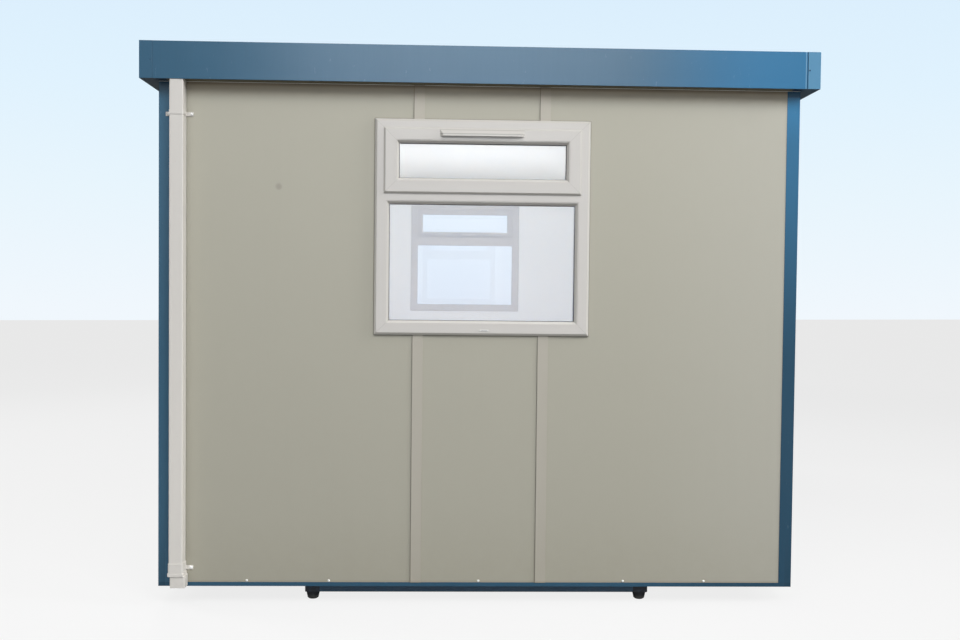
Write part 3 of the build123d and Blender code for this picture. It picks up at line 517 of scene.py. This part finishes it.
def wood_grain(name, tint, dark, along, pitch):
    """Sawn wood whose grain runs along one axis. pitch is how many rings lie in a metre."""
    wood, point, *_ = new_finish(name)
    drawn = wood.stretch(point, tuple(0.05 if axis == along else 1.0 for axis in "xyz"))
    figure = wood.noise(drawn, 6.0, distortion=0.6)
    rings = wood.maths("SINE", figure * pitch)
    fibres = wood.noise(drawn, 420.0, detail=3.0)
    mix = wood.rise(rings, -0.6, 1.0) * 0.45 + fibres * 0.35
    return wood.surface(
        Base_Color=wood.blend(mix, tint, dark),
        Roughness=0.6 + fibres * 0.25,
        Normal=wood.relief(fibres + rings * 0.3, 0.0003, 0.0015),
    )


def brushed_metal(name, tint, along, roughness):
    """Bright metal drawn or brushed along one axis, with handling marks."""
    metal, point, *_ = new_finish(name)
    drawn = metal.stretch(point, tuple(0.02 if axis == along else 1.0 for axis in "xyz"))
    lines = metal.noise(drawn, 1500.0)
    marks = metal.noise(point, 22.0, detail=4.0)
    return metal.surface(
        Base_Color=metal.blend(lines * 0.3 + marks * 0.2, tint, shade(tint, 0.62)),
        Metallic=1.0,
        Roughness=roughness + lines * 0.1 + marks * 0.12,
        Normal=metal.relief(lines, 0.00004, 0.0008),
    )


def dress(name, material):
    """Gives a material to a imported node, or to all that have a slot of the record, through the
    object's own slot."""
    parts = frame["record"]["subparts"]
    nodes = [part["node"] for part in parts if name in (part["node"], part["material_slot"])]
    if not nodes:
        raise RuntimeError(f"nothing to dress is called {name}")
    for node in nodes:
        slot = frame["nodes"][node].material_slots[0]
        slot.link = "OBJECT"
        slot.material = material


# ---- making pieces
def solids(node):
    """(lowest, highest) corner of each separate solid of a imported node, from left to right."""
    mesh = bmesh.new()
    mesh.from_mesh(frame["nodes"][node].data)
    bmesh.ops.remove_doubles(mesh, verts=mesh.verts, dist=0.00001)
    left = set(mesh.verts)
    found = []
    while left:
        todo = [left.pop()]
        points = []
        while todo:
            vertex = todo.pop()
            points.append(vertex.co.copy())
            near = {edge.other_vert(vertex) for edge in vertex.link_edges} & left
            left -= near
            todo += near
        found.append([Vector(map(pick, zip(*points))) for pick in (min, max)])
    mesh.free()
    return sorted(found, key=lambda pair: tuple(round(value, 4) for value in pair[0]))


def turned(profile, sides, first_angle=0.0):
    """A part turned about Z from (radius, height) points, from its outer foot to its middle."""
    corners, faces, rings = [], [], []
    for radius, height in profile:
        count = sides if radius else 1
        rings.append([len(corners) + n for n in range(count)])
        for n in range(count):
            angle = first_angle + math.tau * n / sides
            corners.append(Vector((radius * math.cos(angle), radius * math.sin(angle), height)))
    for lower, upper in zip(rings, rings[1:]):
        for n in range(sides):
            following = (n + 1) % sides
            face = [lower[n], lower[following]]
            face += [upper[0]] if len(upper) == 1 else [upper[following], upper[n]]
            faces.append(face)
    return corners, faces


def scaled(profile, size):
    """A profile drawn with a radius of 1, at its real size."""
    return [(radius * size, height * size) for radius, height in profile]


def run_through(corners, count, closed=False):
    """A solid through sections of count corners each. A closed one runs back into its start."""
    total = len(corners)
    last = total - count
    faces = [] if closed else [list(range(count))[::-1], list(range(last, total))]
    for start in range(0, total if closed else last, count):
        for n in range(count):
            here, there = start + n, start + (n + 1) % count
            faces.append([here, there, (there + count) % total, (here + count) % total])
    return corners, faces


def stack(*layers):
    """A solid through outlines, seen from above and anticlockwise, each at its height on Z."""
    corners = [Vector((x, y, level)) for outline, level in layers for x, y in outline]
    return run_through(corners, len(layers[0][0]))


def ring(outer, inner, low, high):
    """A solid ring between two outlines with the same number of corners."""
    corners = []
    for (outer_x, outer_y), (inner_x, inner_y) in zip(outer, inner):
        corners += [Vector((inner_x, inner_y, level)) for level in (low, high)]
        corners += [Vector((outer_x, outer_y, level)) for level in (high, low)]
    return run_through(corners, 4, closed=True)


def rounded(width, height, radius, steps=4):
    """The outline of a rectangle with rounded corners, anticlockwise about the origin."""
    outline = []
    for quarter, (sign_x, sign_y) in enumerate(((1, 1), (-1, 1), (-1, -1), (1, -1))):
        for n in range(steps + 1):
            angle = math.pi / 2 * (quarter + n / steps)
            x = sign_x * (width / 2 - radius) + radius * math.cos(angle)
            y = sign_y * (height / 2 - radius) + radius * math.sin(angle)
            outline.append((x, y))
    return outline


def cap_on(outline, low, high, inset):
    """A moulded cover: upright sides, then a bevel in to a smaller flat top."""
    widest = max(abs(x) for x, _ in outline)
    tallest = max(abs(y) for _, y in outline)
    top = [(x * (1 - inset / widest), y * (1 - inset / tallest)) for x, y in outline]
    return stack((outline, low), (outline, high - inset), (top, high))


def aimed(spot, outward, spin=0.0):
    """The place of a part drawn on the XY plane that is to face outward at a spot."""
    turn = Vector(outward).to_track_quat("Z", "Y").to_matrix().to_4x4()
    return Matrix.Translation(spot) @ turn @ Matrix.Rotation(spin, 4, "Z")


def at(place, part):
    corners, faces = part
    return [place @ corner for corner in corners], faces


def add_object(name, data):
    made = bpy.data.objects.new(name, data)
    bpy.context.scene.collection.objects.link(made)
    return made


def add_sheet(name, corners):
    """A flat sheet of the studio, from its four corners."""
    mesh = bpy.data.meshes.new(name)
    mesh.from_pydata(corners, [], [[0, 1, 2, 3]])
    return add_object(name, mesh)


def make_piece(name, parts, material):
    """One piece out of parts that are in place already. It rides on the cabin."""
    corners, faces = [], []
    for part_corners, part_faces in parts:
        start = len(corners)
        corners += part_corners
        faces += [[start + n for n in face] for face in part_faces]
    mesh = bpy.data.meshes.new(name)
    mesh.from_pydata(corners, [], faces)
    mesh.shade_smooth()
    mesh.set_sharp_from_angle(angle=math.radians(30))
    mesh.materials.append(material)
    piece = add_object(name, mesh)
    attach(piece, BODY)
    return piece


def on_end(end, x, y, z):
    """The place of a part that faces out of one end. y is how far it lies from the middle."""
    return aimed((x, end * y, z), (0, end, 0))


# ---- operators: finishes
class CoatWalls(Operator):
    """Coat the panels, their joint strips and the end soffits, and line the room"""

    bl_idname = "cabin.coat_walls"
    bl_label = "Coat the Walls"

    def execute(self, context):
        colours = context.scene.cabin_colours
        dress("panel_skin", panel_skin(colours))
        # painted shadow along the left edge of each joint strip, at the x listed here
        edges = [low.x for low, _ in solids("joint_strips") if low.y > 0 and abs(low.x) < ROOM_HIGH.x]
        dress("joint_strips", panel_skin(colours, "joint_strip_skin", srgb(173, 168, 156), edges))
        dress("end_soffits", soffit_finish())
        dress("white_lining", white_lining(colours))
        return {"FINISHED"}


class PaintSteelwork(Operator):
    """Paint the posts, fascias, rails, door and skids, and plug the runners"""

    bl_idname = "cabin.paint_steelwork"
    bl_label = "Paint the Steelwork"

    def execute(self, context):
        colours = context.scene.cabin_colours
        dress("blue_steel", stoved_paint("steelwork_paint", colours.steelwork, dusty=0.05))
        low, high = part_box("side_fascias")
        inset = 0.052
        rivets = (high.x - inset, (low.z + high.z) / 2, context.scene.fixing_sizes.rivet_head / 2)
        sides = stoved_paint("side_fascia_paint", colours.steelwork, 0.05, srgb(90, 142, 176), rivets)
        dress("side_fascias", sides)
        # painted light: the posts' paint is lighter than the other steelwork, for light the downpipe shades
        # off the left post
        dress("corner_posts", stoved_paint("post_paint", srgb(58, 97, 122), lit_corner_tint=srgb(45, 105, 143)))
        dress("navy_steel", stoved_paint("skid_paint", colours.skids, dusty=0.25, gloss=0.42))
        dress("black_plastic", runner_plug(colours))
        dress("black_rubber", black_rubber(colours))
        return {"FINISHED"}


class FinishRoofAndFloor(Operator):
    """Finish the roof sheets, gutters, purlins, joists and deck"""

    bl_idname = "cabin.finish_roof_and_floor"
    bl_label = "Finish the Roof and Floor"

    def execute(self, context):
        colours = context.scene.cabin_colours
        dress("roof_steel", roof_coating(colours))
        dress("galvanised_steel", galvanised(colours))
        dress("plywood", wood_grain("deck_ply", colours.ply, srgb(146, 108, 70), "y", pitch=60.0))
        dress("timber", wood_grain("purlin_wood", colours.softwood, srgb(158, 118, 74), "x", pitch=90.0))
        return {"FINISHED"}


class FinishWindows(Operator):
    """Give the window frames, sashes, beads and rainwater goods their plastic, with welded corners"""

    bl_idname = "cabin.finish_windows"
    bl_label = "Finish the Windows and Pipes"

    def execute(self, context):
        plastic = context.scene.cabin_colours.plastic
        dress("white_upvc", moulded_plastic("white_plastic", shade(plastic, 1.14)))
        vent_low, vent_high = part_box("trickle_vents")
        lip = 0.01
        # the vent's crease and the gap along its top get painted shade
        shaded_creases = [vent_low.z + lip, vent_high.z - 0.0005]
        dress("trickle_vents", moulded_plastic("vent_plastic", shade(plastic, 1.02), shaded_creases=shaded_creases))
        beads = [pair for pair in solids("window_beads") if pair[0].y < 0]
        for node, rings, face in (
            ("window_frames", [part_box("window_frames")], 0.070),
            ("window_sashes", [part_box("window_sashes")], 0.073),
            ("window_beads", beads, 0.015),
        ):
            dress(node, moulded_plastic(node + "_plastic", plastic, rings, face))
        return {"FINISHED"}


class FinishIronmongery(Operator):
    """Finish the door's threshold, handles and hinges"""

    bl_idname = "cabin.finish_ironmongery"
    bl_label = "Finish the Ironmongery"

    def execute(self, context):
        colours = context.scene.cabin_colours
        dress("aluminium", brushed_metal("threshold_aluminium", colours.aluminium, "y", roughness=0.3))
        dress("satin_steel", brushed_metal("satin_steel", colours.satin, "z", roughness=0.24))
        return {"FINISHED"}


# ---- operators: pieces
class GlazeWindows(Operator):
    """Glaze each light with two panes and a spacer bar between them"""

    bl_idname = "cabin.glaze_windows"
    bl_label = "Glaze the Windows"

    def execute(self, context):
        sizes = context.scene.fixing_sizes
        panes, bars = [], []
        for low, high in solids("window_glass"):
            middle = (low + high) / 2
            width, depth, height = high - low
            place = aimed(middle, (0, math.copysign(1, middle.y), 0))
            sheet = rounded(width, height, 0.001, 1)
            for back in (-depth / 2, depth / 2 - sizes.pane):
                panes.append(at(place, cap_on(sheet, back, back + sizes.pane, 0.0006)))
            inner, outer = depth / 2 - sizes.pane, sizes.spacer_inset
            deep = outer + sizes.spacer
            outside = rounded(width - 2 * outer, height - 2 * outer, 0.003)
            inside = rounded(width - 2 * deep, height - 2 * deep, 0.001)
            bars.append(at(place, ring(outside, inside, -inner, inner)))
        glass = make_piece("glass_panes", panes, sealed_glass())
        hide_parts("window_glass")
        silver = brushed_metal("spacer_bar", context.scene.cabin_colours.aluminium, "x", roughness=0.35)
        make_piece("glass_spacers", bars, silver)
        return {"FINISHED"}


class SealWindowFrames(Operator):
    """Run a bead of sealant round each window frame, in its corner with the wall"""

    bl_idname = "cabin.seal_window_frames"
    bl_label = "Seal the Window Frames"

    def execute(self, context):
        bead = context.scene.fixing_sizes.sealant
        low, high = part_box("window_frames")
        width, height = high.x - low.x, high.z - low.z
        clear, step = 0.0001, bead * 0.4
        outer, slope, inner = (
            rounded(width + 2 * away, height + 2 * away, away) for away in (bead, bead / 2, clear)
        )
        beads = []
        for end in (FRONT, REAR):
            place = on_end(end, (low.x + high.x) / 2, END_SKIN, (low.z + high.z) / 2)
            beads.append(at(place, ring(outer, inner, 0.0, step)))
            beads.append(at(place, ring(slope, inner, step, 2 * step)))
        sealant = black_rubber(context.scene.cabin_colours, "sealant", srgb(112, 110, 98))
        make_piece("window_sealant", beads, sealant)
        return {"FINISHED"}


class DriveFootScrews(Operator):
    """Drive the white-headed screws along the foot of the panels on all four walls"""

    bl_idname = "cabin.drive_foot_screws"
    bl_label = "Drive the Foot Screws"
    ACROSS = (-1.1055, -0.7145, 0.0035, 0.7034, 1.0974)  # x of each screw in an end wall
    ALONG = 9  # screws in a side wall
    FROM_CORNER = 0.12
    CLEAR = 0.02  # of the door frame
    PROFILE = ((1, 0), (1, 0.16), (0.86, 0.42), (0.55, 0.62), (0.34, 0.66), (0.28, 0.2), (0, 0.2))

    def execute(self, context):
        sizes = context.scene.fixing_sizes
        head = turned(scaled(self.PROFILE, sizes.screw_head / 2), 16)
        level = WALL_LOW.z + sizes.screw_level
        skin_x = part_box("left_wall_panel_1")[0].x
        door_low, door_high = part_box("door_frame")
        low, high = ROOM_LOW.y + self.FROM_CORNER, ROOM_HIGH.y - self.FROM_CORNER
        screws = []
        for end in (FRONT, REAR):
            for x in self.ACROSS:
                screws.append(at(on_end(end, x, END_SKIN, level), head))
        for side in (LEFT, RIGHT):
            for n in range(self.ALONG):
                y = low + (high - low) * n / (self.ALONG - 1)
                if side == RIGHT and door_low.y - self.CLEAR < y < door_high.y + self.CLEAR:
                    continue
                screws.append(at(aimed((-side * skin_x, y, level), (side, 0, 0)), head))
        make_piece("foot_screws", screws, moulded_plastic("screw_enamel", srgb(240, 240, 236)))
        return {"FINISHED"}


class CapPipeScrews(Operator):
    """Press white caps over the screws of the pipe clips and the shoes' lugs"""

    bl_idname = "cabin.cap_pipe_screws"
    bl_label = "Cap the Pipe Screws"
    PROFILE = ((1, 0), (1, 0.28), (0.9, 0.5), (0.6, 0.7), (0.25, 0.78), (0, 0.79))
    POST_EAR, WALL_EAR, LUG = 0.014, 0.009, 0.01  # from each one's end to its cap
    THICKNESS = 0.003  # of the ears and lugs under the caps
    LUG_LEVEL = 0.173

    def execute(self, context):
        sizes = context.scene.fixing_sizes
        clip_cap = turned(scaled(self.PROFILE, sizes.clip_cap / 2), 20)
        lug_cap = turned(scaled(self.PROFILE, sizes.lug_cap / 2), 20)
        clip_low, clip_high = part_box("pipe_clips")
        clip_level = (clip_low.z + clip_high.z) / 2
        spots = (
            (clip_low.x + self.POST_EAR, WALL_HIGH.y, clip_level, clip_cap),
            (clip_high.x - self.WALL_EAR, END_SKIN, clip_level, clip_cap),
            (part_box("pipe_shoes")[1].x - self.LUG, END_SKIN, self.LUG_LEVEL, lug_cap),
        )
        caps = []
        for end in (FRONT, REAR):
            for x, seat, level, cap in spots:
                caps.append(at(on_end(end, x, seat + self.THICKNESS, level), cap))
        make_piece("pipe_screw_caps", caps, moulded_plastic("cap_plastic", srgb(232, 232, 230)))
        return {"FINISHED"}


class CoverDrainSlots(Operator):
    """Clip a cover over the drain slot in each window's bottom rail"""

    bl_idname = "cabin.cover_drain_slots"
    bl_label = "Cover the Drain Slots"
    UP = 0.0235  # from the frame's foot to the cover's middle
    RIGHT_OF_MIDDLE = 0.013
    COVER_HEIGHT, CORNER = 0.0085, 0.0035
    DEPTH, BEVEL = 0.0026, 0.0012
    SLOT_HEIGHT = 0.0016
    END_OF_SLOT = 0.006  # from the cover's end

    def execute(self, context):
        width = context.scene.fixing_sizes.drain_cap
        low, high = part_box("window_frames")
        middle = (low.x + high.x) / 2 + self.RIGHT_OF_MIDDLE
        cover = cap_on(rounded(width, self.COVER_HEIGHT, self.CORNER), 0.0, self.DEPTH, self.BEVEL)
        mouth = rounded(width - 2 * self.END_OF_SLOT, self.SLOT_HEIGHT, 0.0007, 2)
        covers, slots = [], []
        for end in (FRONT, REAR):
            place = on_end(end, middle, high.y, low.z + self.UP)
            covers.append(at(place, cover))
            slots.append(at(place, stack((mouth, 0.002), (mouth, self.DEPTH + 0.00015))))
        white = moulded_plastic("drain_cover_plastic", srgb(216, 215, 212))
        make_piece("drain_covers", covers, white)
        # painted shade: a dark insert in each slot stands in for the shade inside it
        shadow = moulded_plastic("drain_slot_shade", srgb(96, 95, 90))
        make_piece("drain_slots", slots, shadow)
        return {"FINISHED"}


class ScrewRoof(Operator):
    """Screw the roof sheets to the purlins through every rib"""

    bl_idname = "cabin.screw_roof"
    bl_label = "Screw Down the Roof"
    RIBS = 16
    RIB_HEIGHT = 0.020
    SHEET = 0.0015  # thickness
    RIDGE_LEVEL = 2.623  # where the slopes that the sheets lie on would meet
    FALL = 0.060  # from there to the end walls

    def execute(self, context):
        low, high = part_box("roof_sheets")
        fall = self.FALL / WALL_HIGH.y
        slope = math.atan(fall)
        radius = context.scene.fixing_sizes.roof_washer / 2
        washer = turned([(radius, 0.0), (radius, 0.0012), (radius * 0.7, 0.0024), (0.0, 0.0024)], 12)
        hexagon = turned([(0.0046, 0.0022), (0.0046, 0.0048), (0.0039, 0.0056), (0.0, 0.0056)], 6, 0.3)
        pitch = (high.x - low.x) / self.RIBS
        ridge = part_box("ridge_cap")[1].y
        washers, heads = [], []
        for purlin_low, purlin_high in solids("roof_purlins"):
            y = (purlin_low.y + purlin_high.y) / 2
            if abs(y) < ridge:
                continue
            crown = self.RIDGE_LEVEL - fall * abs(y) + self.SHEET + self.RIB_HEIGHT / math.cos(slope)
            lean = Vector((0, math.copysign(math.sin(slope), y), math.cos(slope)))
            for n in range(self.RIBS):
                place = aimed((low.x + (n + 0.5) * pitch, y, crown), lean, n * 0.7)
                washers.append(at(place, washer))
                heads.append(at(place, hexagon))
        colours = context.scene.cabin_colours
        make_piece("roof_washers", washers, black_rubber(colours))
        make_piece("roof_screws", heads, galvanised(colours))
        return {"FINISHED"}


class SealDoor(Operator):
    """Run a rubber seal round the door leaf, in the gap to its frame"""

    bl_idname = "cabin.seal_door"
    bl_label = "Seal the Door"
    SUNK = 0.0022  # behind the leaf's face
    DEPTH = 0.012
    EASED = 0.0008  # off its outer edges
    CLEAR = 0.0001  # of the leaf

    def execute(self, context):
        width = context.scene.fixing_sizes.seal
        low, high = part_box("door_leaf")
        outer = high.x - self.SUNK
        shoulder, inner = outer - self.EASED, outer - self.DEPTH
        far = [(width, inner), (width, shoulder), (width / 2, outer)]
        section = [*far, (self.CLEAR, shoulder), (self.CLEAR, inner)]
        edge = [(low.y, low.z), (low.y, high.z), (high.y, high.z), (high.y, low.z)]
        away = [(-1, 0), (-1, 1), (1, 1), (1, 0)]
        corners = []
        for (y, z), (step_y, step_z) in zip(edge, away):
            corners += [Vector((x, y + step_y * depth, z + step_z * depth)) for depth, x in section]
        rubber = black_rubber(context.scene.cabin_colours)
        make_piece("door_seal", [run_through(corners, len(section))], rubber)
        return {"FINISHED"}


class FixIronmongery(Operator):
    """Fix the hinges and handle plates with countersunk screws, and put a black insert in each key slot as
    painted shade
    """

    bl_idname = "cabin.fix_ironmongery"
    bl_label = "Fix the Ironmongery"
    PROFILE = ((0.0042, 0.0), (0.0038, 0.0005), (0.0016, 0.0007), (0.0013, 0.0002), (0.0, 0.0002))
    HINGE_PLATE = 0.0025  # thickness
    HINGE_SCREWS = [(across, up) for across in (-0.0175, 0.0175) for up in (0.016, 0.05, 0.084)]
    HANDLE_PLATE = 0.006  # thickness
    HANDLE_PLATE_WIDTH = 0.044
    SCREW_INSET = 0.012  # from the handle plate's ends
    BARREL_DROP = 0.042  # below the handle plate's middle
    BARREL_FACE = 0.009  # off the door leaf

    def execute(self, context):
        head = turned(self.PROFILE, 14)
        keyhole = rounded(0.0024, 0.0095, 0.001, 2)
        key_slot = stack((keyhole, -0.0002), (keyhole, 0.0003))
        screws, key_slots = [], []
        for low, high in solids("door_hinges"):
            middle = (low.y + high.y) / 2
            for across, up in self.HINGE_SCREWS:
                spot = (WALL_HIGH.x + self.HINGE_PLATE, middle + across, low.z + up)
                screws.append(at(aimed(spot, (1, 0, 0)), head))
        low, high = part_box("door_handles")
        middle = high.y - self.HANDLE_PLATE_WIDTH / 2
        barrel = (low.z + high.z) / 2 - self.BARREL_DROP
        leaf_low, leaf_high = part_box("door_leaf")
        for face, outward in ((leaf_high.x, 1), (leaf_low.x, -1)):
            for level in (low.z + self.SCREW_INSET, high.z - self.SCREW_INSET):
                spot = (face + outward * self.HANDLE_PLATE, middle, level)
                screws.append(at(aimed(spot, (outward, 0, 0)), head))
            spot = (face + outward * self.BARREL_FACE, middle, barrel)
            key_slots.append(at(aimed(spot, (outward, 0, 0)), key_slot))
        make_piece("ironmongery_screws", screws, bpy.data.materials["satin_steel"])
        # painted shade: a black insert stands in for the shade inside each key slot
        make_piece("key_slots", key_slots, black_rubber(context.scene.cabin_colours))
        return {"FINISHED"}


# ---- operators: studio
class BuildStudio(Operator):
    """Lay the floor, hang the lamps and the sky, and set up the camera"""

    bl_idname = "cabin.build_studio"
    bl_label = "Build the Studio"
    SKY = (
        (0.0, srgb(240, 247, 253)),
        (0.17, srgb(236, 246, 253)),
        (0.33, srgb(232, 245, 253)),
        (0.63, srgb(224, 242, 254)),
        (0.85, srgb(220, 239, 253)),
        (1.0, srgb(216, 237, 253)),
    )
    CARD = (
        (0.0, (0.05, 0.08, 0.19)),
        (0.5, (0.29, 0.32, 0.41)),
        (0.62, (0.2, 0.22, 0.27)),
        (0.77, (0.18, 0.2, 0.25)),
        (1.0, (0.93, 0.96, 1.0)),
    )
    # name, place, target, width, height and watts
    LAMPS = (
        ("key", (3.6, -9.7, 8.5), (0.2, -2.4, 1.2), 5.0, 4.6, 668.0),
        ("fill", (-2.6, -9.2, 8.2), (0.0, -2.4, 1.2), 5.0, 4.6, 310.0),
        ("side", (11.0, -5.0, 6.5), (0.0, -2.4, 1.5), 3.0, 4.0, 740.0),
        ("back", (-4.0, 8.5, 7.5), (0.0, 2.4, 1.2), 4.0, 4.0, 700.0),
        ("left", (-11.0, 2.0, 6.5), (0.0, 0.0, 1.2), 4.0, 4.0, 800.0),
    )

    def execute(self, context):
        studio = context.scene.studio
        self.lay_floor(studio)
        self.hang_sky(context.scene)
        for lamp in self.LAMPS:
            self.hang_lamp(*lamp)
        self.light_room()
        for end in (FRONT, REAR):
            self.hang_card(end)
        self.place_camera(context.scene, studio)
        context.scene.view_settings.view_transform = "Standard"
        return {"FINISHED"}

    def lay_floor(self, studio):
        """A floor whose far edge is the horizon, nearly white wherever the camera sees it, with a painted
        pool of light near the cabin's front.
        """
        outline = [(-60.0, -45.0), (60.0, -45.0), (60.0, 62.2), (-60.0, 22.1)]
        floor = add_sheet("studio_floor", [(x, y, -0.0002) for x, y in outline])
        finish, point, *_ = new_finish("studio_floor")
        reach = finish.distance(point, (0.0, 0.0, 0.0))
        near = finish.distance(point, (0.8, -3.4, 0.0))
        seen = self.seen(finish, "Transmission")
        tint = finish.blend(seen, studio.bounce, studio.floor)
        matt = finish.node("BsdfDiffuse", {"Color": tint})
        # painted light: the floor's glow is brightest near the cabin's front
        tint = finish.blend(finish.rise(near, -4.0, 14.0), srgb(255, 255, 255), srgb(234, 234, 234))
        glow = finish.node("Emission", {"Color": tint, "Strength": 1.0})
        share = seen * (0.86 + finish.rise(reach, 3.0, 12.0) * 0.12)
        shader = finish.node("MixShader", {0: share, 1: matt, 2: glow})
        floor.data.materials.append(finish.end(shader))

    @staticmethod
    def seen(finish, *kinds):
        """1 for the camera and for rays of the kinds given, and 0 for light on the cabin."""
        seen = finish.node("LightPath", output="Is Camera Ray")
        for kind in kinds:
            seen = finish.maths("MAXIMUM", seen, finish.node("LightPath", output=f"Is {kind} Ray"))
        return seen

    def hang_sky(self, scene):
        """A pale blue sky to look at, through and in the glass, and a weaker one for light."""
        scene.world = bpy.data.worlds.new("studio_sky")
        sky = Finish(scene.world)
        direction = sky.node("TexCoord", output="Generated")
        up = sky.node("SeparateXYZ", {0: direction}, "Z")
        tint = sky.node("ValToRGB", {"Fac": (up + 0.02) / 0.32}, "Color", stops=self.SKY)
        backdrop = sky.node("Background", {"Color": tint, "Strength": 1.0})
        ambient = sky.node("Background", {"Color": (0.93, 0.97, 1.0), "Strength": 0.25})
        seen = self.seen(sky, "Transmission", "Glossy")
        sky.end(sky.node("MixShader", {0: seen, 1: ambient, 2: backdrop}))

    @staticmethod
    def hang_lamp(name, spot, target, width, height, power):
        data = bpy.data.lights.new(name, "AREA")
        data.shape = "RECTANGLE"
        data.size, data.size_y = width, height
        data.energy = power
        lamp = add_object(name, data)
        lamp.location = spot
        lamp.rotation_euler = (Vector(target) - Vector(spot)).to_track_quat("-Z", "Y").to_euler()

    def light_room(self):
        """A soft lamp in the empty room, which is not seen itself."""
        data = bpy.data.lights.new("room", "POINT")
        data.shadow_soft_size = 0.4
        data.energy = 88.0
        data.color = (0.85, 0.91, 1.0)
        room = add_object("room", data)
        room.location = (0.0, 0.0, 1.0)
        self.hide(room, "camera", "transmission", "glossy")

    def hang_card(self, end):
        """A tall pale card that only shows in reflections, brighter towards its top."""
        corners = [(-2.2, 0.5), (2.5, 0.5), (2.5, 6.5), (-2.2, 6.5)]
        card = add_sheet("card", [(x, end * 10.8, z) for x, z in corners])
        finish, *_, z = new_finish("card")
        tint = finish.node("ValToRGB", {"Fac": (z - 1.0) / 3.0}, "Color", stops=self.CARD)
        glow = finish.node("Emission", {"Color": tint, "Strength": 8.5})
        card.data.materials.append(finish.end(glow))
        self.hide(card, "camera", "diffuse", "transmission", "shadow")

    @staticmethod
    def hide(thing, *rays):
        for kind in rays:
            setattr(thing, f"visible_{kind}", False)

    @staticmethod
    def place_camera(scene, studio):
        data = bpy.data.cameras.new("camera")
        data.sensor_width = 36.0
        data.lens = studio.lens
        data.clip_end = 500.0
        scene.camera = add_object("camera", data)
        turn = Matrix.Rotation(-studio.yaw, 4, "Z") @ Matrix.Rotation(math.pi / 2 - studio.pitch, 4, "X")
        turn = turn @ Matrix.Rotation(studio.roll, 4, "Z")
        scene.camera.matrix_world = Matrix.Translation(studio.camera_place) @ turn


OPERATORS = (
    CoatWalls,
    PaintSteelwork,
    FinishRoofAndFloor,
    FinishWindows,
    FinishIronmongery,
    GlazeWindows,
    SealWindowFrames,
    DriveFootScrews,
    CapPipeScrews,
    CoverDrainSlots,
    ScrewRoof,
    SealDoor,
    FixIronmongery,
    BuildStudio,
)
SETTINGS = {"cabin_colours": CabinColours, "fixing_sizes": FixingSizes, "studio": Studio}


class CabinPanel(Panel):
    """The cabin's settings, and its operators in the order that they are run"""

    bl_idname = "VIEW3D_PT_site_cabin"
    bl_label = "Site Cabin"
    bl_space_type = "VIEW_3D"
    bl_region_type = "UI"
    bl_category = "Site Cabin"

    def draw(self, context):
        for name, group in SETTINGS.items():
            box = self.layout.box()
            for setting in group.__annotations__:
                box.prop(getattr(context.scene, name), setting)
        for operator in OPERATORS:
            self.layout.operator(operator.bl_idname)


def register():
    for cls in (*SETTINGS.values(), *OPERATORS, CabinPanel):
        bpy.utils.register_class(cls)
    for name, group in SETTINGS.items():
        setattr(bpy.types.Scene, name, PointerProperty(type=group))


def unregister():
    for name in SETTINGS:
        delattr(bpy.types.Scene, name)
    for cls in reversed((*SETTINGS.values(), *OPERATORS, CabinPanel)):
        bpy.utils.unregister_class(cls)


def main():
    register()
    for operator in OPERATORS:
        group, name = operator.bl_idname.split(".")
        getattr(getattr(bpy.ops, group), name)()


if __name__ == "__main__":
    main()
